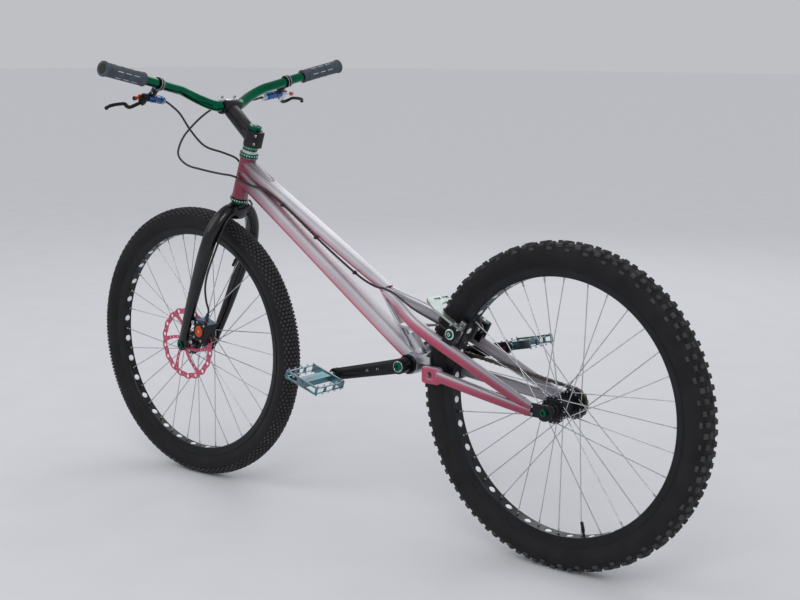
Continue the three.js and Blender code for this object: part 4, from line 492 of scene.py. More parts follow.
# Screw head on +Y with a hexagon socket
def screw(radius, height, socket=0.5, dome=0.25):
    bm = bmesh.new()
    outer = turnedShape([(0, 0), (radius, 0), (radius, height * (1 - dome)), (radius * (1 - dome), height),
                         (radius * 0.62, height)], 24)
    putInto(bm, outer)
    openEdges = [e for e in bm.edges if len(e.link_faces) == 1]
    key = bmesh.ops.create_circle(bm, segments=6, radius=radius * socket,
                                  matrix=moved(0, height, 0) @ spun(90, "X"))["verts"]
    keyEdges = [e for e in bm.edges if e.verts[0] in key and e.verts[1] in key]
    bmesh.ops.bridge_loops(bm, edges=openEdges + keyEdges)
    sunk = bmesh.ops.extrude_edge_only(bm, edges=keyEdges)["geom"]
    low = [v for v in sunk if isinstance(v, bmesh.types.BMVert)]
    bmesh.ops.translate(bm, verts=low, vec=(0, -height * 0.6, 0))
    bmesh.ops.contextual_create(bm, geom=[e for e in sunk if isinstance(e, bmesh.types.BMEdge)
                                          and all(v in low for v in e.verts)])
    return bm


# One solid with the others cut out of it
def carved(part, cutters):
    objects = []
    for bm in [part, *cutters]:
        bmesh.ops.recalc_face_normals(bm, faces=bm.faces)
        mesh = bpy.data.meshes.new("solid")
        bm.to_mesh(mesh)
        bm.free()
        solid = bpy.data.objects.new("solid", mesh)
        scene.collection.objects.link(solid)
        objects.append(solid)
    for cutter in objects[1:]:
        cut = objects[0].modifiers.new("cut", "BOOLEAN")
        cut.operation, cut.solver, cut.object = "DIFFERENCE", "EXACT", cutter
    done = objects[0].evaluated_get(bpy.context.evaluated_depsgraph_get())
    bm = bmesh.new()
    bm.from_mesh(done.data)
    for solid in objects:
        mesh = solid.data
        bpy.data.objects.remove(solid)
        bpy.data.meshes.remove(mesh)
    return bm


# A CAD solid's own shape, merged, with its sharp edges broken
def fromCad(node, bevel=0.5, angle=35):
    bm = bmesh.new()
    bm.from_mesh(bpy.data.objects[node].data)
    bm.transform(Matrix.Scale(1 / toMetres, 4))
    bmesh.ops.remove_doubles(bm, verts=bm.verts, dist=0.01)
    bmesh.ops.dissolve_limit(bm, angle_limit=math.radians(1), verts=bm.verts, edges=bm.edges)
    if bevel:
        sharp = [e for e in bm.edges if len(e.link_faces) == 2 and e.calc_face_angle(0) > math.radians(angle)]
        bmesh.ops.bevel(bm, geom=sharp, offset=bevel, affect="EDGES", segments=2, profile=0.5, material=-1,
                        clamp_overlap=True)
    return bm


# The same shape with one finish, moved back into a piece's own frame
def cadShape(node, at, bevel, finish=0):
    solid = fromCad(node, bevel)
    solid.transform(at.inverted())
    bm = bmesh.new()
    putInto(bm, solid, None, finish)
    return bm


def lerp(a, b, t):
    return Vector(a) + (Vector(b) - Vector(a)) * t


# Brake hoses, 5 mm across. The routes are the CAD's own, in millimetres.
hose = {
    "diameter": 5, "sides": 12, "steps": 5,
    "front": [(147.7, 163.7, 195.4), (147.5, 156, 193.4), (138, 141, 184), (126, 122, 168), (113, 90, 130),
              (93, 55, 98), (66, 16, 89), (45, -14, 78), (30, -23, 50), (27, -25, 20), (25, -28, 2),
              (14, -34, -10), (-6, -34, -11), (-23, -22, -14), (-27, -2, -18), (-25, 18, -24), (-23, 38, -34),
              (-24, 54, -56), (-24, 61, -84), (-20, 64, -125), (-12.5, 65, -178), (-10, 63, -210),
              (-9.5, 58, -235), (-15, 52, -262), (-24.4, 48.2, -281), (-25, 48, -291.9)],
    "loop": [(147.7, -163.7, 195.4), (148.6, -154, 193.4), (147, -136, 190), (151, -114, 186),
             (171.9, -80, 171.3), (189, -56, 160), (199, -30, 137.4), (199, 0, 112), (199, 25, 82),
             (193, 40, 54), (180, 48, 40), (158, 50, 32), (133, 50, 31), (102, 46, 35.6), (72, 42, 40.6),
             (36, 38, 48), (12, 35.5, 54), (-7.9, 32.1, 55.8)],
    "rear": [(899, 32, 757), (887, 29.5, 751), (861, 25.5, 740.7), (824, 22.8, 734.4), (775.2, 22.3, 711.4),
             (716.2, 21.8, 674.4), (658.2, 21.8, 636.4), (591, 21.5, 594.4), (524, 21.5, 556.8),
             (480, 22, 541), (450, 24, 539), (420, 30, 533), (385, 40, 521), (345, 52, 509), (305, 58, 498),
             (275, 57.5, 487.5), (254.1, 56, 476)],
    "clips": [(761, 702), (657, 635), (540, 566)],
}


def hoseAlong(name, route, at, body, node):
    points = [Vector(p) for p in eased(route, hose["steps"])]
    piece = makePiece(name, swept(points, hose["diameter"] / 2, hose["sides"]), at, "hose", body, [node],
                      smooth=60)
    path = [at @ p * toMetres for p in points]
    length = sum((b - a).length for a, b in zip(path, path[1:]))
    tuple(path[0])
    return piece, path


hoseAlong("frontHose", hose["front"], steerAt, "steering", "front_brake_hose")
loopHose, loopPath = hoseAlong("loopHose", hose["loop"], steerAt, None, "rear_hose_loop")
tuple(loopPath[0])
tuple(loopPath[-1])
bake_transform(loopHose)
hoseAlong("rearHose", hose["rear"], bikeAt, "frame", "rear_brake_hose")
print("hoses made")

# Wheels. Half profiles are (radius, side) from the bead outwards, and knobs (side, length, width, height).
wheels = {
    "front": {
        "at": frontAt, "body": "front_wheel", "steps": 192, "rows": 112,
        "casing": [(281, 13.5), (283.5, 16), (287, 16.2), (289, 17.1), (290.5, 17.3), (292, 18.7), (298, 22),
                   (303, 23.7), (304, 24.3), (307, 24.6), (312, 24.7), (316, 24.4), (320, 23), (323, 21.5),
                   (326.5, 18.5), (328.5, 16.5), (330.4, 12.4), (331.2, 9), (331.9, 4.5)], "crown": 332,
        "knobs": [[(0, 6.6, 5.6, 3.6), (8.8, 6.6, 5.8, 3.6), (16.8, 6.6, 5.4, 3.4), (22.4, 7.4, 4, 2.6)],
                  [(4.4, 6.6, 5.8, 3.6), (12.9, 6.6, 5.6, 3.6), (20, 7, 4.6, 3)]],
        "rimHalf": [(269, 10.5), (270.5, 12.2), (285, 17), (286.4, 17), (286.4, 14.6), (284.5, 14.6),
                    (272.5, 9.6), (271.2, 8.5)],
        "flanges": (22, -33), "valve": 328, "tapeHalf": 9.0, "sealRadius": 12.4,
        "hub": [(8, -49), (11, -49), (12, -48), (12, -42), (13, -40), (14.5, -36), (29, -34.6), (29, -31.4),
                (14.5, -30), (13, -24), (11.8, -10), (11.8, 4), (13, 14), (14.5, 19), (29, 20.4), (29, 23.6),
                (22, 25), (22, 36.8), (13, 36.8), (12, 38), (12, 48), (11, 49), (8, 49)],
    },
    "rear": {
        "at": rearAt, "body": "rear_wheel", "steps": 192, "rows": 48,
        "casing": [(281, 17.5), (283.5, 20), (287, 20.6), (289.5, 21.6), (291, 21.8), (292.5, 23.4), (301, 27),
                   (305, 28.4), (306, 29.1), (311, 29.6), (316, 29.7), (321, 29.2), (325, 27.7), (328, 26),
                   (331, 23.2), (333, 20.5), (334.4, 16), (335.2, 11), (335.9, 5.5)], "crown": 336,
        "knobs": [[(6.4, 13, 9.5, 5), (19.5, 12, 9, 4.8)], [(16.2, 11, 9.5, 5), (26.6, 13, 7, 4)],
                  [(5.6, 10, 8, 5), (21.2, 12, 8, 4.6)], [(14.8, 12, 8.5, 5), (27, 11, 6.5, 3.8)]],
        "rimHalf": [(269, 14.5), (270.5, 16.2), (285, 21), (286.4, 21), (286.4, 18.6), (284.5, 18.6),
                    (272.5, 13.6), (271.2, 12.5)],
        "flanges": (31, -29), "valve": 193, "tapeHalf": 12.4, "sealRadius": 13.4,
        "hub": [(8, -55), (12, -55), (13, -54), (13, -38), (15, -34), (16.5, -32), (29, -30.6), (29, -27.4),
                (16.5, -26), (15, -22), (13.8, -8), (13.8, 8), (15, 24), (16.5, 28), (29, 29.4), (29, 32.6),
                (16.5, 34), (15, 38), (13, 40), (13, 54), (12, 55), (8, 55)],
    },
    "spokes": 32, "spokeRadius": 1.05, "cross": 3, "hubHole": 26, "rimEnd": 268.6, "rimSide": 2.5,
    "holeRadius": 8.6, "holeReach": (262, 276),
    # the strip in the rim bed, and its bulge through each hole as (radius, rise)
    "tape": (271.45, 272.3), "bulgeAt": 271.6,
    "bulge": [(0, -3.4), (3.4, -3.2), (6.4, -2.4), (7.9, -1.0), (8.3, 0.2), (8.3, 0.6), (0, 0.6)],
    # valve stem with its collar and knurled cap, as (radius, rise) from its tip
    "valveTip": 238,
    "valveStem": [(0, 0), (1.4, 0), (3.2, 1), (3.4, 3), (3.4, 11), (3.8, 12), (3.8, 20), (3.0, 21), (2.6, 24),
                  (2.6, 30), (3.2, 31), (3.2, 34), (0, 34)],
    "knob": {"sink": 2, "taper": 0.82, "bevel": 0.5},
    # where a spoke leaves its flange: the hook, the head, and the nipple's two parts
    "bend": 2.15, "hook": 1.2, "head": 1.9, "headIn": 0.9, "headOut": 0.2, "headRadius": 1.9, "thread": 12,
    "nippleRadius": 1.75, "nippleFoot": 2.5, "flangeHoles": 22.2, "flangeHoleRadius": 1.9, "flangeHalf": 3,
    "lip": (11.2, 9), "lipDepth": (0.1, -0.25), "ring": (4, 5),
}


def casingAt(profile, side):
    for (ra, ya), (rb, yb) in zip(profile[::-1], profile[-2::-1]):
        if ya <= abs(side) <= yb:
            t = (abs(side) - ya) / (yb - ya)
            return ra + (rb - ra) * t, math.atan2(rb - ra, yb - ya) * math.copysign(1, side)
    return profile[-1][0] + 0.5, 0


def makeKnob(length, width, height, s):
    bm = bmesh.new()
    bmesh.ops.create_cube(bm, size=1, matrix=moved(0, 0, (height - s["sink"]) / 2)
                          @ Matrix.Diagonal((length, width, height + s["sink"], 1)))
    top = [v for v in bm.verts if v.co.z > 0]
    bmesh.ops.scale(bm, verts=top, vec=(s["taper"], s["taper"], 1))
    crown = max(bm.faces, key=lambda face: face.normal.z)
    bmesh.ops.bevel(bm, geom=crown.edges[:], offset=s["bevel"], affect="EDGES", segments=1, profile=0.5,
                    material=-1)
    return bm


def makeTyre(name, s):
    casing = s["casing"]
    outline = casing + [(s["crown"], 0)] + [(r, -y) for r, y in casing[::-1]]
    bm = turnedShape(outline, s["steps"], closed=True)
    patterns = s["knobs"]
    rows = s["rows"] * 2
    tread = bmesh.new()
    # each kind of knob is made once and set round the tyre in every row of its pattern
    for row in range(len(patterns)):
        for side, length, width, height in patterns[row]:
            for sign in ((1, -1) if side else (1,)):
                radius, tilt = casingAt(casing, side * sign)
                knob = makeKnob(length, width, height, wheels["knob"])
                knob.transform(moved(0, side * sign, radius) @ spun(math.degrees(tilt), "X"))
                mesh = bpy.data.meshes.new("knob")
                knob.to_mesh(mesh)
                knob.free()
                for k in range(row, rows, len(patterns)):
                    known = len(tread.verts)
                    tread.from_mesh(mesh)
                    tread.verts.ensure_lookup_table()
                    bmesh.ops.rotate(tread, verts=tread.verts[known:], cent=(0, 0, 0),
                                     matrix=spun(360 * k / rows).to_3x3())
                bpy.data.meshes.remove(mesh)
    putInto(bm, tread, None, 1)
    makePiece(name + "Tyre", bm, s["at"], ["tyre", "tread"], s["body"], [name + "_tyre"], smooth=40)


def makeRim(name, s):
    half = s["rimHalf"]
    bm = turnedShape(half + [(r, -y) for r, y in half[::-1]], s["steps"], closed=True)
    low, high = wheels["holeReach"]
    turns = [360 * (k + 0.5) / wheels["spokes"] for k in range(wheels["spokes"])]
    holes = bmesh.new()
    for turn in turns:
        putInto(holes, between((0, 0, low), (0, 0, high), wheels["holeRadius"], 20, 0), spun(turn))
    makePiece(name + "Rim", carved(bm, [holes]), s["at"], "rim", s["body"], [name + "_rim"], smooth=30)
    # the strip lies in the rim bed and bulges a little through each hole
    side = s["tapeHalf"]
    low, high = wheels["tape"]
    tape = turnedShape([(low, -side), (high, -side), (high, side), (low, side)], s["steps"], closed=True)
    for turn in turns:
        putInto(tape, turnedShape(wheels["bulge"], 20),
                spun(turn) @ moved(0, 0, wheels["bulgeAt"]) @ spun(90, "X"))
    makePiece(name + "RimStrip", tape, s["at"], "strip", s["body"], [name + "_rim_strip"], smooth=50)
    valve = bmesh.new()
    putInto(valve, turnedShape(wheels["valveStem"], 20),
            spun(s["valve"]) @ moved(0, 0, wheels["valveTip"]) @ spun(90, "X"))
    makePiece(name + "Valve", valve, s["at"], ["black"], s["body"])


def onCircle(radius, turn, side):
    return Vector((radius * math.sin(turn), side, radius * math.cos(turn)))


def makeSpokes(name, s):
    count = wheels["spokes"]
    wires, nipples = bmesh.new(), bmesh.new()
    for k in range(count):
        flange = s["flanges"][k % 2]
        outwards = math.copysign(1, flange)
        leading = 1 if k % 4 < 2 else -1
        rimTurn = fullTurn * k / count
        hubTurn = rimTurn + leading * wheels["cross"] * 2 * fullTurn / count
        def atHole(side):
            return onCircle(wheels["hubHole"], hubTurn, side)

        start = atHole(flange + leading * wheels["bend"])
        end = onCircle(wheels["rimEnd"], rimTurn, outwards * wheels["rimSide"])
        inner = end.lerp(start, wheels["thread"] / (end - start).length)
        head = flange - leading * wheels["head"]
        putInto(wires, swept([atHole(head), atHole(flange + leading * wheels["hook"]), start.lerp(end, 0.006),
                              start.lerp(end, 0.02), inner], wheels["spokeRadius"], 8))
        putInto(wires, between(atHole(head - leading * wheels["headIn"]),
                               atHole(head + leading * wheels["headOut"]), wheels["headRadius"], 10, 0.3))
        putInto(nipples, between(inner, inner.lerp(end, 0.72), wheels["nippleRadius"], 8, 0.3))
        putInto(nipples, between(inner.lerp(end, 0.7), end, wheels["nippleFoot"], 10, 0.5))
    makePiece(name + "Spokes", wires, s["at"], "steel", s["body"], smooth=60)
    makePiece(name + "Nipples", nipples, s["at"], "steel", s["body"])


def makeHub(name, s):
    bm = turnedShape(s["hub"], 64, closed=True)
    holes = bmesh.new()
    perSide, radius, half = wheels["spokes"] // 2, wheels["flangeHoles"], wheels["flangeHalf"]
    for flange in s["flanges"]:
        for k in range(perSide):
            turn = fullTurn * (k + 0.25) / perSide
            putInto(holes, between(onCircle(radius, turn, flange - half),
                                   onCircle(radius, turn, flange + half), wheels["flangeHoleRadius"], 10, 0))
    bm = carved(bm, [holes])
    # seal lip and a bright turned ring at each end
    lip, bore = wheels["lip"]
    for end, inwards in ((s["hub"][0][1], 1), (s["hub"][-1][1], -1)):
        lipEnds = [end + inwards * depth for depth in wheels["lipDepth"]]
        ringEnds = [end + inwards * depth for depth in wheels["ring"]]
        putInto(bm, disc(lip, *lipEnds, 32, 0.1, bore), None, 1)
        putInto(bm, disc(s["sealRadius"], *ringEnds, 32, 0.3, bore), None, 1)
    makePiece(name + "Hub", bm, s["at"], ["black", "steel"], s["body"], [name + "_hub"], smooth=30)


for name in ("front", "rear"):
    makeTyre(name, wheels[name])
    makeRim(name, wheels[name])
    makeSpokes(name, wheels[name])
    makeHub(name, wheels[name])
print("wheels made")

# Brake disc: a scalloped ring with big and small holes, six swept arms and a small hub
rotorSizes = {"side": 38, "thick": 1.8, "outer": 90, "inner": 75, "wave": 3.0, "lobes": 18, "hub": 22,
              "bore": 12.3, "big": 4.6, "small": 1.7, "bevel": 0.25, "armSunk": 0.05, "hubSunk": 0.08,
              # share of a lobe and offset from the middle of the ring, for the small holes
              "smallAt": ((0.42, -3.4), (0.56, 2.4)),
              # the arms as (radius, turn, width), and their windows as (radius, turn)
              "arms": 6, "arm": [(19, -0.10, 11), (36, 0.16, 9), (56, 0.36, 8.6), (76.5, 0.5, 13)],
              "windows": ((38, 0.18), (50, 0.31), (62, 0.405)), "window": 2.1,
              "bolts": 6, "boltCircle": 17.6, "boltHole": 2.2, "boltHead": (3.6, 2.2), "boltSunk": 0.1}


def flatPoint(radius, turn):
    return radius * math.sin(turn), radius * math.cos(turn)


def flatCircle(count, radius, wave=0, lobes=0):
    turns = [fullTurn * k / count for k in range(count)]
    return [flatPoint(radius + wave * math.cos(lobes * t), t) for t in turns]


def makeRotor(s):
    low, high = s["side"] - s["thick"] / 2, s["side"] + s["thick"] / 2
    lobes, half = s["lobes"], s["wave"] / 2
    outer = flatCircle(192, s["outer"] - half, half, lobes)
    inner = flatCircle(96, s["inner"], s["wave"] / 3, lobes)
    middle = (s["outer"] + s["inner"]) / 2
    holes = []
    for k in range(lobes):
        holes.append((*flatPoint(middle, fullTurn * k / lobes), s["big"]))
        for step, offset in s["smallAt"]:
            holes.append((*flatPoint(middle + offset, fullTurn * (k + step) / lobes), s["small"]))
    bm = cutPlate(outer, low, high, holes, s["bevel"], [inner])
    arm = eased(s["arm"], 5)
    edge = [flatPoint(r, t + w / 2 / r) for r, t, w in arm]
    edge += [flatPoint(r, t - w / 2 / r) for r, t, w in arm[::-1]]
    windows = [(*flatPoint(r, t), s["window"]) for r, t in s["windows"]]
    for k in range(s["arms"]):
        putInto(bm, cutPlate(edge, low + s["armSunk"], high - s["armSunk"], windows, s["bevel"]),
                spun(360 * k / s["arms"]))
    boltHoles = [(*flatPoint(s["boltCircle"], fullTurn * (k + 0.5) / s["bolts"]), s["boltHole"])
                 for k in range(s["bolts"])]
    putInto(bm, cutPlate(flatCircle(48, s["hub"]), low + s["hubSunk"], high - s["hubSunk"], boltHoles,
                         s["bevel"], [flatCircle(32, s["bore"])]))
    makePiece("brakeDisc", bm, frontAt, "rotor", "front_wheel", ["front_rotor"], smooth=30)
    bolts = bmesh.new()
    for x, z, _ in boltHoles:
        putInto(bolts, screw(*s["boltHead"]), moved(x, high - s["boltSunk"], z))
    makePiece("discBolts", bolts, frontAt, "steel", "front_wheel")


makeRotor(rotorSizes)

# Frame tubes. Shares run from the first point to the second: [along, width, height]
tubes = {
    "top": {"start": junction, "end": headBase + headUp * layout["headTube"] * 0.81,
            "width": 38, "height": 25,
            "shares": [(0, 0.74, 0.78), (0.2, 0.9, 0.92), (0.5, 1, 1), (0.8, 1, 1.04), (1, 1, 1.08)]},
    "down": {"start": bracket, "end": headBase + headUp * layout["headTube"] * 0.54,
             "width": 41, "height": 35,
             "shares": [(0, 0.95, 0.92), (0.3, 1, 1), (0.75, 1, 1), (1, 0.98, 1.15)]},
    "squareness": 3.5, "headRadius": 19,
    # the head tube as (radius, height)
    "head": [(14.7, 0.1), (19.2, 0.1), (19.9, 0.9), (19.9, 5.5), (19, 8.5), (19, 93.5), (19.9, 96.5),
             (19.9, 101.1), (19.2, 101.9), (14.7, 101.9)],
    "seatStay": {"start": Vector((461.7, 9.5, 534.5)), "end": Vector((36, 58.5, 346)), "spread": 49, "bow": 6.5,
                 "width": 20, "height": 29, "squareness": 2.8,
                 "shares": [(0, 0.55, 0, 0.8, 0.66), (0.071, 0.6, 0.11, 0.92, 0.86), (0.153, 0.75, 0.394, 1, 1),
                            (0.231, 0.9, 0.677, 1, 1), (0.318, 1, 0.859, 0.95, 1), (0.467, 0.9, 0.95, 0.9, 0.93),
                            (0.7075, 0.65, 0.98, 0.85, 0.86), (0.92, 0.4, 1, 0.8, 0.76), (1, 0, 1, 0.7, 0.62)]},
    "chainStay": {"start": Vector((285, 43.5, 370)), "end": Vector((36, 58.5, 336)), "spread": 15, "width": 19,
                  "height": 25, "squareness": 2.8,
                  "shares": [(0, 0, 0.9, 1), (0.1, 0.1, 1, 1), (0.5, 0.6, 1, 0.96), (0.88, 0.97, 0.9, 0.84),
                             (1, 1, 0.75, 0.7)],
                  # machined block in front with its slot, and the weld ridge behind it
                  "block": [(279, 356), (281, 353), (284, 351.5), (321, 351.5), (325, 353), (327, 356.5),
                            (327, 383.5), (325, 387), (321, 388.5), (284, 388.5), (281, 387), (279, 384)],
                  "blockSides": (37.5, 49.5), "slotAt": (306, 370), "slotRadius": 5.2, "slotHalf": 2.2,
                  "ridgeAt": (283.5, 43.5, 370), "ridge": (9.4, 13.2)},
    "gusset": {"length": 88, "width": 20, "thickness": 14, "rise": 7, "seat": 0.53,
               "rows": [(0, 1, 1), (0.45, 0.75, 1), (0.9, 0.25, 0.9), (1, -0.6, 0.7)]},
}


def ring(at, across, up, width, height, count=48):
    turns = [fullTurn * k / count for k in range(count)]
    return [Vector(at) + across * math.cos(t) * width + up * math.sin(t) * height for t in turns]


def tubeStations(s):
    return [(lerp(s["start"], s["end"], t), s["width"] * w, s["height"] * h)
            for t, w, h in eased(s["shares"])]


# Weld bead where a tube meets the round head tube: the tube's own section, carried along it to the round
def headWeld(s, radius, grow=1.4):
    along = (s["end"] - s["start"]).normalized()
    up = Vector((-along.z, 0, along.x))
    _, w, h = s["shares"][-1]
    power = 2 / tubes["squareness"]
    flatRun = along - headUp * along.dot(headUp)
    loop = []
    for k in range(96):
        angle = fullTurn * k / 96
        c, n = math.cos(angle), math.sin(angle)
        point = s["end"] + acrossBike * math.copysign(abs(c) ** power, c) * (s["width"] * w / 2 + 0.2) \
            + up * math.copysign(abs(n) ** power, n) * (s["height"] * h / 2 + 0.2)
        # where a line along the tube through this point meets the round of the head
        aside = point - headBase - headUp * (point - headBase).dot(headUp)
        a, b, rest = flatRun.dot(flatRun), 2 * flatRun.dot(aside), aside.dot(aside) - (radius + 0.3) ** 2
        root = max(b * b - 4 * a * rest, 0) ** 0.5
        loop.append(point + along * (-b - root) / (2 * a))
    return swept(loop, grow, 8, loop=True, ripple=0.16, waves=24)


def mirroredCopy(bm):
    made = bmesh.new()
    mesh = bpy.data.meshes.new("mirrored")
    bm.to_mesh(mesh)
    made.from_mesh(mesh)
    bpy.data.meshes.remove(mesh)
    made.transform(mirrorY)
    bmesh.ops.reverse_faces(made, faces=made.faces)
    return made


def makeFrameTubes(s):
    head = turnedShape(s["head"], 64, closed=True)
    head.transform(spun(90, "X"))
    makePiece("headTube", head, steerAt, ["paint"], "frame", ["head_tube"], smooth=30)

    top = lofted(tubeStations(s["top"]), 40, s["squareness"])
    along = (s["top"]["end"] - s["top"]["start"]).normalized()
    up = Vector((-along.z, 0, along.x))
    g = s["gusset"]
    low = (s["top"]["height"] - g["thickness"]) / 2
    rows = [(s["top"]["end"] - along * g["length"] * a + up * (low + g["rise"] * r), g["width"] * w,
             g["thickness"]) for a, r, w in eased(g["rows"])]
    putInto(top, lofted(rows, 24, 3.0))
    # weld bead round the foot of the gusset, where it meets the tube's flat top
    seat = up * s["top"]["height"] * g["seat"]
    foot = [(s["top"]["end"] - along * g["length"] * a + seat, acrossBike * (g["width"] * w / 2 + 0.5))
            for a, r, w in eased(g["rows"])]
    loop = [p + half for p, half in foot] + [p - half for p, half in reversed(foot)]
    putInto(top, swept(loop, 1.3, 8, loop=True, ripple=0.16, waves=40))
    putInto(top, headWeld(s["top"], s["headRadius"]))
    makePiece("topTube", top, bikeAt, ["paint"], "frame", ["top_tube"], smooth=45)

    down = lofted(tubeStations(s["down"]), 40, s["squareness"])
    putInto(down, headWeld(s["down"], s["headRadius"]))
    makePiece("downTube", down, bikeAt, ["paint"], "frame", ["down_tube"], smooth=45)

    stay = s["seatStay"]
    rows = []
    for t, bow, out, w, h in eased(stay["shares"]):
        centre = lerp(stay["start"], stay["end"], t)
        centre.y = stay["start"].y + stay["spread"] * out
        centre.z -= stay["bow"] * bow
        rows.append((centre, stay["width"] * w, stay["height"] * h))
    left = lofted(rows, 32, stay["squareness"])
    # weld bead at the dropout end
    before, width, height = rows[-4]
    run = (rows[-1][0] - before).normalized()
    bead = ring(before, acrossBike, Vector((-run.z, 0, run.x)), width / 2 + 0.3, height / 2 + 0.3)
    putInto(left, swept(bead, 1.1, 8, loop=True, ripple=0.15, waves=14))
    right = mirroredCopy(left)
    makePiece("seatStayLeft", left, bikeAt, ["paint"], "frame", ["seat_stay_left"], smooth=45)
    makePiece("seatStayRight", right, bikeAt, ["paint"], "frame", ["seat_stay_right"], smooth=45)

    stay = s["chainStay"]
    rows = []
    for t, out, w, h in eased(stay["shares"]):
        centre = lerp(stay["start"], stay["end"], t)
        centre.y = stay["start"].y + stay["spread"] * out
        rows.append((centre, stay["width"] * w, stay["height"] * h))
    left = lofted(rows, 32, stay["squareness"])
    slotX, slotZ = stay["slotAt"]
    slot = []
    for up, turns in ((1, range(0, 181, 20)), (-1, range(180, 361, 20))):
        for turn in map(math.radians, turns):
            slot.append((slotX + stay["slotRadius"] * math.cos(turn),
                         slotZ + up * stay["slotHalf"] + stay["slotRadius"] * math.sin(turn)))
    putInto(left, cutPlate(stay["block"], *stay["blockSides"], (), 1.0, [slot]))
    ridge = ring(stay["ridgeAt"], acrossBike, Vector((0, 0, 1)), *stay["ridge"])
    putInto(left, swept(ridge, 1.8, 8, loop=True, ripple=0.18, waves=14))
    right = mirroredCopy(left)
    makePiece("chainStayLeft", left, bikeAt, ["paint"], "frame", ["chain_stay_left"], smooth=40)
    makePiece("chainStayRight", right, bikeAt, ["paint"], "frame", ["chain_stay_right"], smooth=40)


makeFrameTubes(tubes)


# Machined frame parts keep the CAD's shape, with their edges broken
def dress(node, kind, body, bevel):
    first, *others = node.split("_")
    name = first + "".join(word.capitalize() for word in others)
    makePiece(name, fromCad(node, bevel), rowFrame, [kind], body, [node], smooth=32)


dress("bottom_bracket_yoke", "satin", "frame", 0.9)
dress("seat_tube", "satin", "frame", 0.7)
for side in ("left", "right"):
    dress("dropout_" + side, "black", "frame", 0.5)
    dress("chain_tug_" + side, "black", "frame", 0.4)
dress("brake_booster", "booster", "frame", 0.5)

# Hose clips and screws of the frame
fittings = {
    "clipRadius": 4.2, "clipWidth": 7, "clipSide": 21.8, "clipFoot": ((-3.2, -6.5, -2.2), (3.2, 0, 2.2)),
    "clipScrew": (2.2, 1.4), "clipScrewOut": 3.6, "afterClips": (480, 541),
    # ferrules at the end of the hose on the gusset, as (start, end, radius)
    "ferrules": [((897, 27, 753.5), (905, 24, 757.5), 3.2), ((902, 26, 753.5), (910, 23, 757.5), 2.4)],
    "tugScrews": [(33, 61.8, 349), (33, 61.8, 333)], "tugScrew": (3.2, 1.9),
}


def makeFrameFittings(s):
    steel, clips = bmesh.new(), bmesh.new()
    for (x, z), (nextX, nextZ) in zip(hose["clips"], hose["clips"][1:] + [s["afterClips"]]):
        run = Vector((nextX - x, 0, nextZ - z)).normalized()
        centre = Vector((x, s["clipSide"], z))
        half = run * s["clipWidth"] / 2
        putInto(clips, between(centre - half, centre + half, s["clipRadius"], 20, 0.8))
        putInto(clips, block(*s["clipFoot"], 0.6), Matrix.Translation(centre)
                @ aim((0, 0, 0), run) @ spun(90, "X") @ spun(90, "Z"))
        putInto(steel, screw(*s["clipScrew"]), Matrix.Translation(centre + acrossBike * s["clipScrewOut"]))
    makePiece("hoseClips", clips, bikeAt, ["hose"], "frame")
    for start, end, radius in s["ferrules"]:
        putInto(steel, between(start, end, radius, 16, 0.4))
    for flip in (rowFrame, mirrorY):
        for spot in s["tugScrews"]:
            putInto(steel, screw(*s["tugScrew"]), flip @ moved(*spot))
    makePiece("frameScrews", steel, bikeAt, ["steel"], "frame")


makeFrameFittings(fittings)


# An axle: black spindle and washers, green screw heads
def makeAxle(name, at, body, node, s):
    axle = bmesh.new()
    putInto(axle, between((0, -s["half"], 0), (0, s["half"], 0), s["radius"], 32), None, 1)
    for flip in (rowFrame, mirrorY):
        putInto(axle, disc(s["washer"], s["washerAt"], s["washerAt"] + 1, 32, 0.3), flip, 1)
        putInto(axle, screw(*s["screw"], 0.5), flip @ moved(0, s["washerAt"] + 0.9, 0))
    makePiece(name, axle, at, ["green", "black"], body, [node])


makeAxle("rearAxle", rearAt, "frame", "rear_axle",
         {"half": 65.4, "radius": 7.6, "washer": 9.5, "washerAt": 65.2, "screw": (7.8, 5.2)})
print("frame made")

# Headset: green cups around the head tube with milled pockets, a silver waist and a green knurled top
headset = {
    "pockets": 22, "waist": (114.9, 125.5),
    # profiles as (radius, height) over the head tube's foot, and pockets as (low corner, high corner, bevel)
    "upper": [(14.6, 102.2), (21.5, 102.2), (22.5, 103), (22.5, 105), (21.6, 105.8), (21.6, 107.6),
              (22.5, 108.4), (22.5, 113.2), (21.6, 114.2), (18.4, 114.8), (18.4, 119.4), (19.2, 119.9),
              (19.2, 121.4), (18.4, 121.9), (18.4, 131.4), (17.8, 132.2), (14.6, 132.2)],
    "upperPockets": [((-1.9, 109.2, 22.1), (1.1, 112.6, 22.75), 0.25),
                     ((-0.7, 103.4, 22.1), (2.3, 104.6, 22.75), 0.2),
                     ((-0.8, 126.6, 18.1), (0.8, 130.6, 18.9), 0.2)],
    "lower": [(14.6, -0.3), (21.5, -0.3), (22.5, -1), (22.5, -6.2), (21.8, -7), (18.5, -7.4), (18.5, -11),
              (17.9, -11.7), (14.6, -11.7)],
    "lowerPockets": [((-1.9, -5.2, 22.1), (1.1, -2.0, 22.75), 0.25)],
}


def makeHeadset(s):
    for name, waist in (("upper", 1), ("lower", 0)):
        cup = turnedShape(s[name], 64, closed=True)
        low, high = s["waist"]
        for face in cup.faces:
            face.material_index = waist if low < face.calc_center_median().y < high else 0
        for k in range(s["pockets"]):
            for start, end, bevel in s[name + "Pockets"]:
                putInto(cup, block(start, end, bevel, 1), spun(360 * k / s["pockets"]), 1)
        cup.transform(spun(90, "X"))
        makePiece(name + "Headset", cup, steerAt, ["green", "machined"], "frame", [name + "_headset_cup"],
                  smooth=30)


makeHeadset(headset)

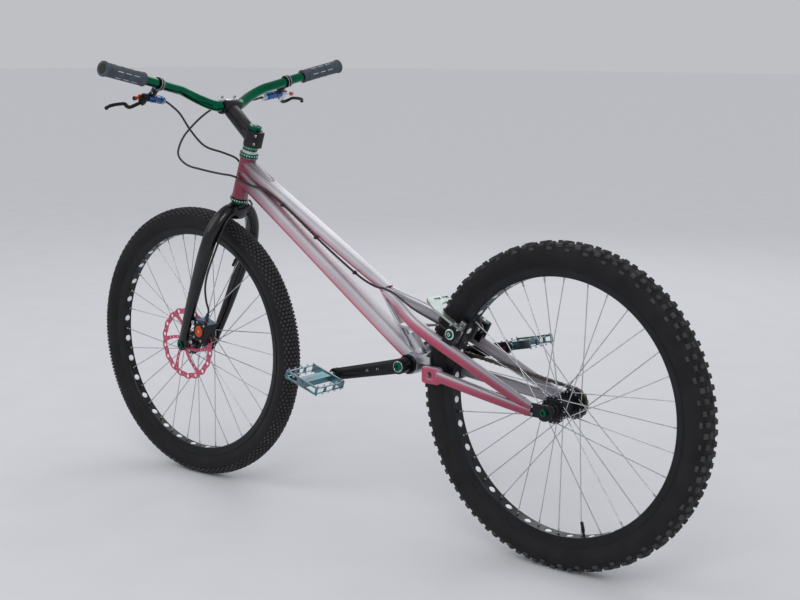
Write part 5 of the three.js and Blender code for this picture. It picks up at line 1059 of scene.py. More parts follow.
# Bottom bracket cups, the left one with its tool notches and a steel seal
bracketCup = {"radius": 21.4, "bore": 12.5, "inner": 36.9, "leftOuter": 43.4, "rightOuter": 38.0, "notches": 12,
              "notch": ((-2.2, 39.2, 20.4), (2.2, 42.9, 22.0)), "seal": (13.8, 43, 43.9), "sealBore": 11.4}


def makeBracketCups(s):
    left = disc(s["radius"], s["inner"], s["leftOuter"], 64, 0.7, s["bore"])
    for k in range(s["notches"]):
        putInto(left, block(*s["notch"], 0.4, 1), spun(360 * k / s["notches"]))
    putInto(left, disc(*s["seal"], 48, 0.3, s["sealBore"]), None, 1)
    right = disc(s["radius"], s["inner"], s["rightOuter"], 64, 0.7, s["bore"])
    right.transform(mirrorY)
    for side, cup in (("left", left), ("right", right)):
        makePiece("bracketCup" + side.capitalize(), cup, cranksAt, ["black", "steel"], "frame",
                  ["bottom_bracket_cup_" + side], smooth=30)


makeBracketCups(bracketCup)

# Fork: welded tapered legs under a crown. Leg rows are (down, forward, out, depth, width)
forkSizes = {
    "top": -26, "drop": 374, "forward": 31.3, "inside": 15, "spread": 60, "width": 28, "depth": 37,
    "legs": [(0, -0.1, 0, 0.75, 0.85), (0.015, -0.1, 0.3, 0.9, 0.95), (0.075, -0.05, 0.62, 1, 1),
             (0.155, 0, 0.86, 1, 1), (0.27, 0.03, 0.965, 1, 1), (0.434, 0.3, 0.917, 0.92, 0.93),
             (0.734, 0.65, 0.817, 0.76, 0.78), (0.955, 0.92, 0.69, 0.66, 0.6)],
    "crown": [(0, 0.6), (0.3, 0.95), (0.75, 1), (1, 0.75)], "crownStart": -12.3, "crownDrop": 38,
    "crownWidth": 62, "crownDepth": 38, "steerer": 14.3, "steererEnds": (-14, 131),
    "race": (17.6, -13.5, -12), "plate": (50.2, 57.9),
    # dropout: an eye round the axle on a web that runs into the leg, and the ridge where they meet
    "eyeAt": (31.3, -400), "eye": 15, "axleHole": 7.5,
    "web": [(40, -381), (36, -366), (22, -366), (16.5, -381)],
    "eyeRidgeAt": (29, 54, -379.5), "eyeRidge": (10.5, 8),
    # caliper tabs on the left leg, their outline round each hole
    "tabs": [(-4.7, -375), (2.3, -324)], "tabPlate": (50.4, 57.2), "tabHole": 3.1,
    "tab": [(-9, -7), (-7, -9.6), (12, -9.6), (22, -8), (22, 8), (12, 9.6), (-7, 9.6), (-9, 7)],
    # ridge where a leg leaves the crown
    "crownRidgeAt": (-1, 28.5, -34), "crownRidge": (17.5, 2.1, 12.5),
}


def makeFork(s):
    rows = [(Vector((s["forward"] * f, s["inside"] + s["spread"] * out, s["top"] - s["drop"] * down)),
             s["width"] * w, s["depth"] * d) for down, f, out, d, w in eased(s["legs"])]
    leg = lofted(rows, 32, 2.3)
    legRight = mirroredCopy(leg)
    bm = bmesh.new()
    putInto(bm, leg)
    putInto(bm, legRight)
    crown = [(Vector((0, 0, s["crownStart"] - s["crownDrop"] * t)), s["crownWidth"] * k, s["crownDepth"] * k)
             for t, k in eased(s["crown"])]
    putInto(bm, lofted(crown, 40, 2.4))
    putInto(bm, disc(s["steerer"], *s["steererEnds"], 40, 0.8), spun(90, "X"))
    putInto(bm, disc(*s["race"], 40, 0.4), spun(90, "X"))
    eyeX, eyeZ = s["eyeAt"]
    eye = [(eyeX + s["eye"] * math.cos(turn), eyeZ + s["eye"] * math.sin(turn))
           for turn in map(math.radians, range(-200, 21, 10))]
    forward, rise = Vector((1, 0, 0)), Vector((0, 0, 1))
    wide, lean, tall = s["crownRidge"]
    for flip in (rowFrame, mirrorY):
        putInto(bm, cutPlate(eye + s["web"], *s["plate"], [(eyeX, eyeZ, s["axleHole"])], 0.7), flip)
        loop = ring(s["eyeRidgeAt"], forward, acrossBike, *s["eyeRidge"], count=36)
        putInto(bm, swept(loop, 1.0, 8, loop=True, ripple=0.15, waves=10), flip)
        loop = ring(s["crownRidgeAt"], forward, acrossBike * lean + rise * tall, wide, 1)
        putInto(bm, swept(loop, 1.2, 8, loop=True, ripple=0.15, waves=14), flip)
    for x, z in s["tabs"]:
        outline = [(x + a, z + b) for a, b in s["tab"]]
        putInto(bm, cutPlate(outline, *s["tabPlate"], [(x, z, s["tabHole"])], 0.8))
    makePiece("fork", bm, steerAt, ["gloss"], "steering", ["fork"], smooth=40)


makeFork(forkSizes)
makeAxle("frontAxle", frontAt, "steering", "front_axle",
         {"half": 58.2, "radius": 7.6, "washer": 9.4, "washerAt": 58.1, "screw": (7.8, 5.1)})

# Front brake: dark caliper with a blue upper part, an orange cap and a banjo for the hose.
# Rows of discs are (radius, low, high, sides, bevel, bore, kind); kinds: blue, orange, steel, black
caliper = {
    "centre": (-21.7, -338.5), "blueAbove": 9, "blueBeyond": 44,
    "cap": [(13.9, 61.5, 63.9, 40, 0.8, 0, 1), (10.6, 63.6, 64.5, 40, 0.4, 7.5, 1),
            (3.6, 63.6, 64.4, 24, 0.3, 1.8, 2)],
    "screwSpread": (12, 20), "screw": (2.6, 1.8), "screwAt": 61.6,
    "bolts": [(-4.7, -375), (2.3, -324)], "bolt": (4.6, 4.2), "boltAt": 61.8, "washer": (5.6, 61.0, 61.9),
    "banjoAt": (-25, 48, -319.8),
    "banjo": [(4.4, -0.5, 9.5, 28, 0.7, 0, 1), (5.3, 2.0, 6.6, 28, 0.7, 0, 1),
              (3.4, 9.0, 27.4, 20, 0.4, 0, 3)],
}


def addDiscs(bm, rows, at):
    for *sizes, kind in rows:
        putInto(bm, disc(*sizes), at, kind)


def makeCaliper(s):
    x, z = s["centre"]
    bm = cadShape("front_caliper", steerAt, 0.9, 3)
    for face in bm.faces:
        middle = face.calc_center_median()
        if middle.z > z + s["blueAbove"] and middle.y > s["blueBeyond"]:
            face.material_index = 0
    addDiscs(bm, s["cap"], moved(x, 0, z))
    wide, tall = s["screwSpread"]
    for right, up in ((-1, 1), (1, 1), (-1, -1), (1, -1)):
        putInto(bm, screw(*s["screw"]), moved(x + right * wide, s["screwAt"], z + up * tall), 2)
    for boltX, boltZ in s["bolts"]:
        putInto(bm, screw(*s["bolt"]), moved(boltX, s["boltAt"], boltZ), 2)
        putInto(bm, disc(*s["washer"], 28, 0.2), moved(boltX, 0, boltZ), 2)
    addDiscs(bm, s["banjo"], moved(*s["banjoAt"]) @ spun(90, "X"))
    makePiece("frontCaliper", bm, steerAt, ["caliperBlue", "orange", "steel", "black"], "steering",
              ["front_caliper"], smooth=32)


makeCaliper(caliper)
for side in ("left", "right"):
    dress("front_pad_" + side, "pad", "front_pad_" + side, 0.4)

# Stem, bar and grips
cockpit = {"barRadius": 12.7, "reach": 98, "rise": 194.7,
           "sweep": 26, "halfWidth": 379, "lift": 88.4, "gripStart": 260, "gripRadius": 15.6, "gripPast": 4,
           # knurl rings in the clamp as (count each way, pitch, half width, height)
           "knurl": (7, 1.5, 0.35, 0.12),
           # grip: its inner end as (radius, along), then rings, then the flange as (radius, before the end)
           "gripInner": [(0, 0), (11.2, 0), (15.8, 0), (16.4, 0.7), (16.4, 2.6), (15.8, 3.4), (15.3, 4.4)],
           "ringFrom": 7, "ringPitch": 2.8, "ringUntil": 10, "ringDepth": 0.22,
           "gripFlange": [(15.6, 7), (17.0, 5.6), (17.4, 4.6), (17.4, 1.4), (16.6, 0.3), (13, 0), (0, 0)],
           "markTurn": 60, "markFrom": 26, "markPitch": 25, "markLength": 17, "plugRadius": 11.8,
           "bar": [(0, 0, 0, 1), (0.075, 0, 0, 1), (0.13, 0.025, 0.33, 1), (0.21, 0.13, 0.75, 0.96),
                   (0.29, 0.26, 0.96, 0.92), (0.36, 0.37, 1, 0.88), (0.43, 0.44, 0.985, 0.874),
                   (0.685, 0.7, 0.91, 0.874), (1, 1, 0.8, 0.874)],
           "tilt": math.degrees(math.atan2(42.6, 98))}


def barPoint(share, side=1):
    rows = cockpit["bar"]
    for (a, *low), (b, *high) in zip(rows, rows[1:]):
        if share <= b + 1e-9:
            t = (share - a) / (b - a)
            rise, sweep = (p + (q - p) * t for p, q in zip(low[:2], high[:2]))
            break
    return Vector((cockpit["reach"] + cockpit["sweep"] * sweep, side * cockpit["halfWidth"] * share,
                   cockpit["rise"] + cockpit["lift"] * rise))


def makeBar(s):
    side = [(Vector((s["reach"] + s["sweep"] * sweep, s["halfWidth"] * share, s["rise"] + s["lift"] * rise)),
             2 * s["barRadius"] * thick, 2 * s["barRadius"] * thick)
            for share, rise, sweep, thick in eased(s["bar"], 6)]
    whole = [(Vector((p.x, -p.y, p.z)), w, h) for p, w, h in side[:0:-1]] + side
    bm = lofted(whole, 32, 2.0)
    rings, pitch, half, height = s["knurl"]
    for k in range(-rings, rings + 1):
        putInto(bm, disc(s["barRadius"] + height, k * pitch - half, k * pitch + half, 40, 0.1),
                moved(s["reach"], 0, s["rise"]))
    makePiece("handlebar", bm, steerAt, ["green"], "steering", ["handlebar"], smooth=60)


def makeGrips(s):
    start, end = barPoint(s["gripStart"] / s["halfWidth"]), barPoint(1)
    length = (end - start).length + s["gripPast"]
    r = s["gripRadius"]
    profile = list(s["gripInner"])
    along = s["ringFrom"]
    while along < length - s["ringUntil"]:
        low = r - s["ringDepth"]
        profile += [(r, along), (r, along + 1.6), (low, along + 2.0), (low, along + 2.4)]
        along += s["ringPitch"]
    profile += [(radius, length - before) for radius, before in s["gripFlange"]]
    for flip, name in ((rowFrame, "Left"), (mirrorY, "Right")):
        bm = bmesh.new()
        putInto(bm, turnedShape(profile, 48))
        for turn in range(0, 360, s["markTurn"]):
            for k in range(3):
                putInto(bm, block((r - 0.8, 0, -1.0), (r + 0.25, s["markLength"], 1.0), 0.35, 1),
                        spun(turn + 20) @ moved(0, s["markFrom"] + k * s["markPitch"], 0), 1)
        putInto(bm, disc(s["plugRadius"], length - 0.6, length + 0.05, 40, 0.3), None, 2)
        makePiece("grip" + name, bm, steerAt @ flip @ aim(start, end), ["foam", "paleMark", "black"],
                  "steering", ["grip_" + name.lower()], smooth=28)


makeBar(cockpit)
makeGrips(cockpit)


stemSizes = {
    # pinch screws across the rear clamp, heads on the left
    "pinchX": -18, "pinchHeights": (142, 162), "pinchScrew": (3.6, 3.2), "pinchHead": 9.4,
    "nut": (3.2, -10.6, -9.4),
    "ribSide": 17.4, "rib": ((26, 163.5), (78, 186.2)), "ribRadius": 1.5,
    "faceScrew": (3.9, 3.0), "faceScrewAt": (13.5, 20.5, 16.5),
    "cap": [(0, 171.9), (14.8, 171.9), (16, 173), (16, 176), (15.3, 176.6), (15.3, 177.4), (16, 178),
            (16, 179.6), (14.8, 180.9), (8, 180.4), (6.4, 179.6), (0, 179.6)],
    "capTeeth": 20, "capTooth": ((15.4, 178, -0.7), (16.05, 180, 0.7)),
    "capScrew": (4.9, 3.2), "capScrewAt": 179.8,
}


def makeStem(s):
    body = cadShape("stem", steerAt, 0.9)
    for z in s["pinchHeights"]:
        putInto(body, screw(*s["pinchScrew"]), moved(s["pinchX"], s["pinchHead"], z), 1)
        putInto(body, disc(*s["nut"], 20, 0.3), moved(s["pinchX"], 0, z), 1)
    for side in (s["ribSide"], -s["ribSide"]):
        start, end = ((x, side, z) for x, z in s["rib"])
        putInto(body, between(start, end, s["ribRadius"], 12, 0.6))
    makePiece("stem", body, steerAt, ["stemGrey", "steel"], "steering", ["stem"], smooth=32)
    face = cadShape("stem_face_plate", steerAt, 0.8)
    clampAt = moved(cockpit["reach"], 0, cockpit["rise"]) @ spun(-cockpit["tilt"])
    ahead, out, up = s["faceScrewAt"]
    for y in (out, -out):
        for z in (up, -up):
            putInto(face, screw(*s["faceScrew"]), clampAt @ moved(ahead, y, z) @ spun(-90, "Z"), 1)
    makePiece("stemFacePlate", face, steerAt, ["machined", "steel"], "steering", ["stem_face_plate"],
              smooth=32)
    cap = turnedShape(s["cap"], 48)
    for k in range(s["capTeeth"]):
        putInto(cap, block(*s["capTooth"], 0.15, 1), spun(360 * k / s["capTeeth"]))
    putInto(cap, screw(*s["capScrew"]), moved(0, s["capScrewAt"], 0), 1)
    cap.transform(spun(90, "X"))
    makePiece("topCap", cap, steerAt, ["green", "steel"], "steering", ["top_cap"], smooth=30)


makeStem(stemSizes)

# Brake controls, in their own frame: X forward, Y out along the bar. Finishes: blue, black, silver, orange
controls = {
    "share": 209 / 379, "pitch": 63,
    # where the clamp and the cylinder's end stop and its head begins
    "clampUntil": (41, 9), "endUntil": -32, "headFrom": (36, 3),
    # silver lines round the clamp, turned rings on the cylinder as (along, finish, radius), and its end
    "lines": (-3.6, 3.6), "lineHalf": 0.6, "lineRadius": 15.3, "barHole": 12,
    "cylinder": ((55, -45, 0), (43, 9, 0)), "ringWidth": 1.3,
    "rings": [(1.5, 2, 9.9), (6, 2, 9.8), (13, 1, 9.75), (30, 3, 9.9), (38, 1, 9.8)],
    "endScrew": (4.6, 2.2), "endCap": (-3.4, 2.0, 6.4),
    "ports": [(3.4, 0, 3.6), (-3.4, 0, -3.6)], "port": (-4.2, 7, 5.6),
    "bleed": (3.2, 2.6), "bleedAt": (49, -18, 8.6),
    "clampScrew": (2.1, 1.6), "clampScrews": [(26, 5.2, 3), (26, 5.2, -3)],
    "pivotAt": (57, 17, 0), "pivotCap": (4.6, 7.0, 8.6), "pivotScrew": (2.8, 1.0), "pivotTop": (57, 17, 8.5),
    "stop": ((38.5, 26, 2.0), (47.5, 33, 6.6)),
    # lever as (out, drop, size), then its hub, its ball end and the adjuster
    "reach": 93, "drop": 18, "section": (7, 10),
    "lever": [(0, 0.1, 0.9), (0.1, 0.45, 1), (0.26, 0.95, 1), (0.4, 0.72, 0.95), (0.52, 0.3, 0.9),
              (0.75, 0.36, 0.9), (0.93, 0.6, 0.95), (1, 0.95, 0.8)],
    "leverHub": (5.1, -3.9, 3.9), "ball": 4.6, "rod": ((43, 17, -2), (43, 50.2, -2), 1.5),
    "knobAt": (43, 0, -2), "knob": (4.7, 42.2, 50.3),
    "knobRibs": 14, "knobRib": ((4.3, 44.4, -0.45), (5.0, 49.6, 0.45)),
}
onBar = Matrix.Translation(barPoint(controls["share"])) @ spun(controls["pitch"])
controlAt = {"left": steerAt @ onBar, "right": steerAt @ mirrorY @ onBar}


def makeControl(side, s):
    left = side == "left"
    at, accent = controlAt[side], 3 if left else 2
    bm = cadShape("master_cylinder_" + side, at, 0.6)
    for face in bm.faces:
        middle = face.calc_center_median()
        if middle.x < s["clampUntil"][0] and abs(middle.y) < s["clampUntil"][1]:
            face.material_index = 1
        elif middle.y < s["endUntil"]:
            face.material_index = 2
        elif middle.x > s["headFrom"][0] and middle.y > s["headFrom"][1]:
            face.material_index = 1 if left else 2
    along = spun(-s["pitch"]) @ (barPoint(0.6) - barPoint(0.5)).normalized()
    for k in s["lines"]:
        low, high = along * (k - s["lineHalf"]), along * (k + s["lineHalf"])
        putInto(bm, between(low, high, s["lineRadius"], 40, 0.2, s["barHole"]), None, 2)
    start, head = map(Vector, s["cylinder"])
    run = (head - start).normalized()
    for k, kind, radius in s["rings"]:
        putInto(bm, between(start + run * k, start + run * (k + s["ringWidth"]), radius, 32, 0.3), None, kind)
    putInto(bm, screw(*s["endScrew"]), aim(start, start - run), 2)
    low, high, radius = s["endCap"]
    putInto(bm, between(start + run * low, start + run * high, radius, 24, 0.8), None, accent)
    if not left:
        low, high, radius = s["port"]
        for aside in s["ports"]:
            port = start + Vector(aside)
            putInto(bm, between(port + run * low, port + run * high, radius, 24, 0.8), None, 2)
    putInto(bm, screw(*s["bleed"]), moved(*s["bleedAt"]) @ spun(90, "X"), accent)
    for spot in s["clampScrews"]:
        putInto(bm, screw(*s["clampScrew"]), moved(*spot), 2)
    putInto(bm, disc(*s["pivotCap"], 24, 0.5), moved(*s["pivotAt"]) @ spun(90, "X"), 3)
    putInto(bm, screw(*s["pivotScrew"]), moved(*s["pivotTop"]) @ spun(90, "X"), 2)
    putInto(bm, block(*s["stop"], 0.8), None, 3)
    makePiece("masterCylinder" + side.capitalize(), bm, at, ["blue", "black", "machined", "orange", "green"],
              "steering", ["master_cylinder_" + side], smooth=32)


def makeLever(side, s):
    pivot = Vector(s["pivotAt"])
    width, height = s["section"]
    rows = [(pivot + Vector((s["drop"] * drop, s["reach"] * out, 0)), width * k, height * k)
            for out, drop, k in eased(s["lever"], 5)]
    lever = bmesh.new()
    putInto(lever, lofted(rows, 24, 2.3))
    putInto(lever, disc(*s["leverHub"], 32, 0.7), moved(*s["pivotAt"]) @ spun(90, "X"))
    ball = bmesh.new()
    bmesh.ops.create_uvsphere(ball, u_segments=20, v_segments=14, radius=s["ball"],
                              matrix=Matrix.Translation(rows[-1][0]))
    putInto(lever, ball)
    putInto(lever, between(*s["rod"], 16), None, 1)
    knob = disc(*s["knob"], 30, 0.6)
    for k in range(s["knobRibs"]):
        putInto(knob, block(*s["knobRib"], 0.15, 1), spun(360 * k / s["knobRibs"]))
    putInto(lever, knob, moved(*s["knobAt"]), 2)
    makePiece("brakeLever" + side.capitalize(), lever, controlAt[side], ["black", "steel", "orange"],
              "brake_lever_" + side, ["brake_lever_" + side], smooth=40)


for side in ("left", "right"):
    makeControl(side, controls)
    makeLever(side, controls)
print("steering made")

# Cranks: bright rings round the screw and, as (share of the crank, low, high), in the flute of each arm
cranks = {
    "length": 175, "angle": 13, "eyeRing": (12.6, 74.9, 75.4), "eyeBore": 10.9,
    "fluteRings": [(0.33, 73.0, 76.6), (0.49, 75.0, 80.0)], "fluteRadius": 3.1, "fluteBore": 2.1,
    "fluteLean": (-0.3, 0, 0.07), "axleHalf": 72, "axleRadius": 10.8, "screw": (8.9, 3.2), "screwAt": 71.8,
}


def makeCranks(s):
    for side, flip in (("left", rowFrame), ("right", spun(180) @ mirrorY)):
        crank = cadShape("crank_" + side, cranksAt, 0.8)
        putInto(crank, disc(*s["eyeRing"], 48, 0.2, s["eyeBore"]), flip, 1)
        along, lean = spun(s["angle"]) @ Vector((s["length"], 0, 0)), Vector(s["fluteLean"])
        for share, low, high in s["fluteRings"]:
            start, end = along * share + acrossBike * low - lean, along * share + acrossBike * high + lean
            putInto(crank, between(start, end, s["fluteRadius"], 20, 0.2, s["fluteBore"]), flip, 1)
        makePiece("crank" + side.capitalize(), crank, cranksAt, ["black", "steel"], "cranks",
                  ["crank_" + side], smooth=32)
    axle = bmesh.new()
    putInto(axle, between((0, -s["axleHalf"], 0), (0, s["axleHalf"], 0), s["axleRadius"], 40))
    for flip in (rowFrame, mirrorY):
        putInto(axle, screw(*s["screw"], 0.5), flip @ moved(0, s["screwAt"], 0), 1)
    makePiece("crankAxle", axle, cranksAt, ["steel", "green"], "cranks", ["crank_axle"])


makeCranks(cranks)

# Pedals: traction pins on both faces of the front and rear bars, and a spindle as (start, end, radius)
pedals = {
    "tilts": {"left": 16.5, "right": -13}, "bars": (-44.5, 44.5), "pins": 5, "pinFrom": 114, "pinPitch": 19.5,
    "pinFoot": 8.3, "pin": [(0, 0), (1.9, 0), (1.9, 3.4), (1.2, 4), (0, 4)],
    "spindle": (79, 192, 4.9), "collar": (91.4, 103.6, 7.8),
}


def makePedals(s):
    for side, out in (("left", 1), ("right", -1)):
        tip = spun(cranks["angle"]) @ Vector((out * cranks["length"], 0, 0))
        pedalAt = cranksAt @ Matrix.Translation(tip)
        bm = cadShape("pedal_" + side, pedalAt, 0.7)
        for face in (1, -1):
            for x in s["bars"]:
                for k in range(s["pins"]):
                    foot = moved(x, out * (s["pinFrom"] + k * s["pinPitch"]), face * s["pinFoot"])
                    at = spun(-s["tilts"][side]) @ foot @ spun(90 * face, "X")
                    putInto(bm, turnedShape(s["pin"], 10), at, 1)
        makePiece("pedal" + side.capitalize(), bm, pedalAt, ["pedal", "steel"], "pedal_" + side,
                  ["pedal_" + side], smooth=32)
        spindle = bmesh.new()
        for (start, end, radius), bevel in ((s["spindle"], 0.5), (s["collar"], 0.8)):
            putInto(spindle, between((0, out * start, 0), (0, out * end, 0), radius, 24, bevel))
        makePiece("pedalAxle" + side.capitalize(), spindle, pedalAt, ["steel"], "cranks",
                  ["pedal_axle_" + side])


makePedals(pedals)

# Chain drive, half-inch pitch, on the right side
drive = {
    "pitch": 12.7, "links": 76, "side": -43.5,
    # a tooth as (share of the pitch, height over the pitch circle), and half the plate's thickness
    "tooth": [(0, -3.95), (0.14, -3.3), (0.24, -1.4), (0.34, 1.4), (0.44, 3.0), (0.56, 3.0), (0.66, 1.4),
              (0.76, -1.4), (0.86, -3.3)], "toothHalf": 1.15,
    # link plates: end radius, half the waist, inner and outer plates as (low, high), pin and roller
    "linkEnd": 4, "linkTurns": (-70, -25, 25, 70), "linkWaist": 2.7, "plates": ((1.5, 2.5), (2.7, 3.7)),
    "pin": (1.9, 4.3), "roller": (3.85, 1.45),
    "carrierHalf": 3.4, "rivet": (-4.1, -3.3), "seekWeight": 0.02,
    "rear": {"piece": "rearSprocket", "body": "rear_wheel", "node": "rear_sprocket", "at": rearAt,
             "finishes": ["chain", "steel"], "teeth": 15, "bore": 13.3, "carrier": (21, 48), "rivets": 6,
             "rivetCircle": 17.5, "rivetRadius": 1.6, "seek": 40},
    "front": {"piece": "freewheelSprocket", "body": "freewheel", "node": "freewheel_sprocket", "at": cranksAt,
              "finishes": ["steel", "chain"], "teeth": 18, "bore": 17.4, "carrier": (27.5, 64), "rivets": 8,
              "rivetCircle": 23, "rivetRadius": 1.7, "seek": -40},
}
rearCentre, frontCentre = Vector((0, 0, layout["rearRadius"])), bracket


def pitchRadius(teeth):
    return drive["pitch"] / 2 / math.sin(math.pi / teeth)


# The chain's pins along its line: a straight, round the front sprocket, a straight back, round the rear one
def chainPins(s):
    rearR, frontR = pitchRadius(s["rear"]["teeth"]), pitchRadius(s["front"]["teeth"])
    span = frontCentre - rearCentre
    slope, lean = math.atan2(span.z, span.x), math.asin((frontR - rearR) / span.length)
    straight, frontArc = span.length * math.cos(lean), frontR * (math.pi + 2 * lean)
    total = 2 * straight + frontArc + rearR * (math.pi - 2 * lean)

    def heading(angle):
        return Vector((math.cos(angle), 0, math.sin(angle)))

    def pointAt(d):
        quarter, upper, lower = math.pi / 2, slope + lean, slope - lean
        if d < straight:
            return rearCentre + heading(upper + quarter) * rearR + heading(upper) * d
        d -= straight
        if d < frontArc:
            return frontCentre + heading(upper + quarter - d / frontR) * frontR
        d -= frontArc
        if d < straight:
            return frontCentre + heading(lower - quarter) * frontR - heading(lower) * d
        return rearCentre + heading(lower - quarter - (d - straight) / rearR) * rearR

    return [pointAt(total * k / s["links"]) for k in range(s["links"])]


def makeChain(pins, s):
    side = s["side"]
    corners = [(-s["linkEnd"] * math.cos(t), s["linkEnd"] * math.sin(t))
               for t in map(math.radians, s["linkTurns"])]
    bm = bmesh.new()
    for k, (start, end) in enumerate(zip(pins, pins[1:] + pins[:1])):
        run = end - start
        length = run.length
        outline = corners + [(length / 2, s["linkWaist"])] + [(length - x, -z) for x, z in corners] \
            + [(length / 2, -s["linkWaist"])]
        low, high = s["plates"][k % 2]
        link = Matrix.Translation(start) @ spun(-math.degrees(math.atan2(run.z, run.x)))
        for inner, outer in ((low, high), (-high, -low)):
            putInto(bm, cutPlate(outline, side + inner, side + outer, (), 0), link)
        for (radius, half), steps in ((s["pin"], 8), (s["roller"], 12)):
            putInto(bm, disc(radius, side - half, side + half, steps, 0.3), Matrix.Translation(start))
    makePiece("chain", bm, bikeAt, ["chain"], "frame", ["chain"], smooth=30)


# A sprocket whose teeth stand between the chain's rollers
def makeSprocket(centre, pins, wheel, s):
    radius = pitchRadius(wheel["teeth"])
    # the pin on the pitch circle nearest to the place named by seek
    spokes = [pin - centre for pin in pins]
    nearest = min(spokes, key=lambda p: abs(p.length - radius) + s["seekWeight"] * abs(p.x + wheel["seek"]))
    phase = math.atan2(nearest.x, nearest.z)
    outline = [flatPoint(radius + grow, fullTurn * (k + share) / wheel["teeth"] + phase)
               for k in range(wheel["teeth"]) for share, grow in s["tooth"]]
    low, high = s["side"] - s["toothHalf"], s["side"] + s["toothHalf"]
    bm = cutPlate(outline, low, high, (), 0.3, [flatCircle(40, wheel["bore"])])
    outer, steps = wheel["carrier"]
    low, high = s["side"] - s["carrierHalf"], s["side"] + s["carrierHalf"]
    putInto(bm, disc(outer, low, high, steps, 0.6, wheel["bore"]))
    for k in range(wheel["rivets"]):
        putInto(bm, disc(wheel["rivetRadius"], *s["rivet"], 10, 0.2),
                spun(360 * k / wheel["rivets"]) @ moved(wheel["rivetCircle"], s["side"], 0), 1)
    makePiece(wheel["piece"], bm, wheel["at"], wheel["finishes"], wheel["body"], [wheel["node"]], smooth=30)


chainLine = chainPins(drive)
makeChain(chainLine, drive)
makeSprocket(rearCentre, chainLine, drive["rear"], drive)
makeSprocket(frontCentre, chainLine, drive["front"], drive)
print("drive made")

# Rear brake: a slave cylinder each side in its saddle, pads on the rim and a booster over the tyre.
# Turned rings and the green end cap are (radius, low, high, sides, bevel, bore, finish).
rearBrake = {
    "reach": 274, "rings": [(12.8, 38.2, 39.4, 40, 0.4, 0, 2), (12.7, 41.0, 44.6, 40, 0.4, 0, 1),
                            (11.6, 63.0, 64.4, 40, 0.4, 0, 2), (8.6, 64.2, 65.4, 40, 0.4, 0, 3)],
    "bleed": (4.0, 2.0), "bleedAt": 65.2, "clampScrew": (2.7, 2.6),
    "clampScrews": [(x, y, 15.6) for x in (264.5, 283.5) for y in (50, 58)],
    "carrierFrom": 29.5, "boosterScrew": (3.2, 2.8), "boosterScrews": [(266, 48, 20.9), (280, 48, 20.9)],
}


def makeRearBrake(s):
    for side, flip in (("left", rowFrame), ("right", mirrorY)):
        bm = cadShape("rear_cylinder_" + side, rimBrakeAt, 0.6)
        addDiscs(bm, s["rings"], flip @ moved(s["reach"], 0, 0))
        putInto(bm, screw(*s["bleed"]), flip @ moved(s["reach"], s["bleedAt"], 0), 2)
        for spot in s["clampScrews"]:
            putInto(bm, screw(*s["clampScrew"]), flip @ moved(*spot) @ spun(90, "X"), 2)
        makePiece("rearCylinder" + side.capitalize(), bm, rimBrakeAt,
                  ["black", "darkRed", "machined", "green"], "frame", ["rear_cylinder_" + side], smooth=32)
        pad = cadShape("rear_pad_" + side, rimBrakeAt, 0.6)
        for face in pad.faces:
            if abs(face.calc_center_median().y) > s["carrierFrom"]:
                face.material_index = 1
        makePiece("rearPad" + side.capitalize(), pad, rimBrakeAt, ["pad", "machined"], "rear_pad_" + side,
                  ["rear_pad_" + side], smooth=32)
    screws = bmesh.new()
    for flip in (rowFrame, mirrorY):
        for spot in s["boosterScrews"]:
            putInto(screws, screw(*s["boosterScrew"]), flip @ moved(*spot) @ spun(90, "X"))
    makePiece("boosterScrews", screws, rimBrakeAt, ["steel"], "frame")


makeRearBrake(rearBrake)
print("brakes made")

# Pale floor and backdrop in one, and soft even light
studio = {
    "floor": ("#d3d4d7", "#dadbdf"), "size": 120, "patchesPerMetre": 6, "roughness": 0.9, "specular": 0.1,
    "light": ("#f4f5f8", 0.8), "background": ("#e9eaee", 0.64), "aim": (0, 0, 0.5),
    # name, place, size and power
    "lamps": [("key", (-2.2, 3.2, 3.4), 2.0, 40), ("fill", (2.6, 2.6, 2.8), 2.6, 18),
              ("back", (1.6, -3.4, 3.0), 2.6, 22)],
}


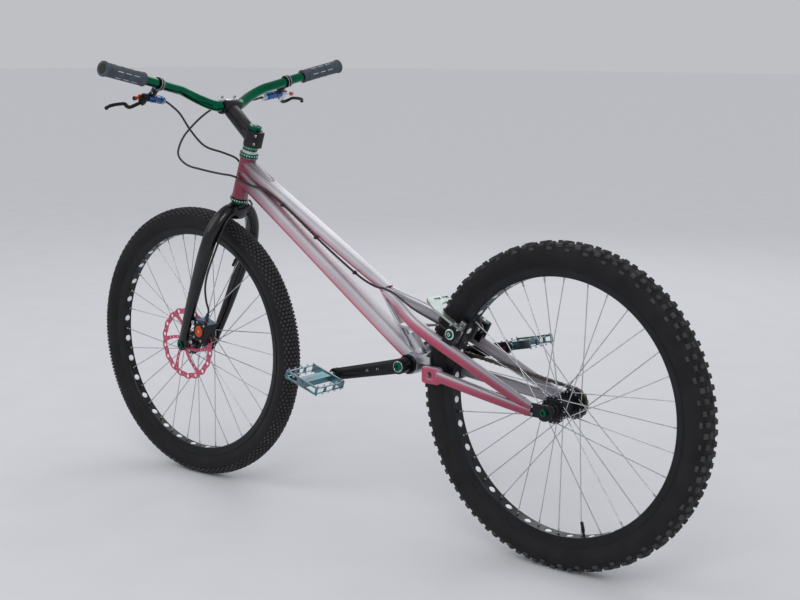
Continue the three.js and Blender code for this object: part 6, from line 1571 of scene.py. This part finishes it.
def makeStudio(s):
    bm = bmesh.new()
    bmesh.ops.create_grid(bm, x_segments=2, y_segments=2, size=s["size"] / 2)
    mesh = bpy.data.meshes.new("floor")
    bm.to_mesh(mesh)
    bm.free()
    floor = bpy.data.objects.new("floor", mesh)
    scene.collection.objects.link(floor)
    material = bpy.data.materials.new("paleFloor")
    material.use_nodes = True
    tree = material.node_tree
    shader = tree.nodes["Principled BSDF"]
    shader.inputs["Roughness"].default_value = s["roughness"]
    shader.inputs["Specular IOR Level"].default_value = s["specular"]
    place = addNode(tree, "ShaderNodeTexCoord")
    noise = addNode(tree, "ShaderNodeTexNoise", {"Scale": s["patchesPerMetre"]},
                    {"Vector": place.outputs["Object"]})
    shades = {6: toLinear(s["floor"][0]), 7: toLinear(s["floor"][1])}
    mix = addNode(tree, "ShaderNodeMix", {"data_type": "RGBA", **shades}, {"Factor": noise.outputs["Fac"]})
    tree.links.new(mix.outputs[2], shader.inputs["Base Color"])
    mesh.materials.append(material)
    world = bpy.data.worlds.new("studio")
    scene.world = world
    world.use_nodes = True
    tree = world.node_tree
    light = tree.nodes["Background"]
    light.inputs["Color"].default_value = toLinear(s["light"][0])
    light.inputs["Strength"].default_value = s["light"][1]
    backdrop, level = s["background"]
    seen = addNode(tree, "ShaderNodeBackground", {"Color": toLinear(backdrop), "Strength": level})
    rays = addNode(tree, "ShaderNodeLightPath").outputs
    either = addNode(tree, "ShaderNodeMath", {"operation": "MAXIMUM"},
                     {0: rays["Is Camera Ray"], 1: rays["Is Glossy Ray"]})
    anyRay = addNode(tree, "ShaderNodeMath", {"operation": "MAXIMUM"},
                     {0: either.outputs["Value"], 1: rays["Is Transmission Ray"]})
    shown = addNode(tree, "ShaderNodeMixShader", None,
                    {0: anyRay.outputs["Value"], 1: light.outputs["Background"], 2: seen.outputs["Background"]})
    tree.links.new(shown.outputs["Shader"], tree.nodes["World Output"].inputs["Surface"])
    for name, place, size, power in s["lamps"]:
        lamp = bpy.data.lights.new(name, "AREA")
        lamp.shape, lamp.size, lamp.energy = "DISK", size, power
        made = bpy.data.objects.new(name, lamp)
        made.location = place
        made.rotation_euler = (Vector(s["aim"]) - Vector(place)).to_track_quat("-Z", "Y").to_euler()
        scene.collection.objects.link(made)


makeStudio(studio)
scene.view_settings.view_transform = "Standard"
print("scene done")
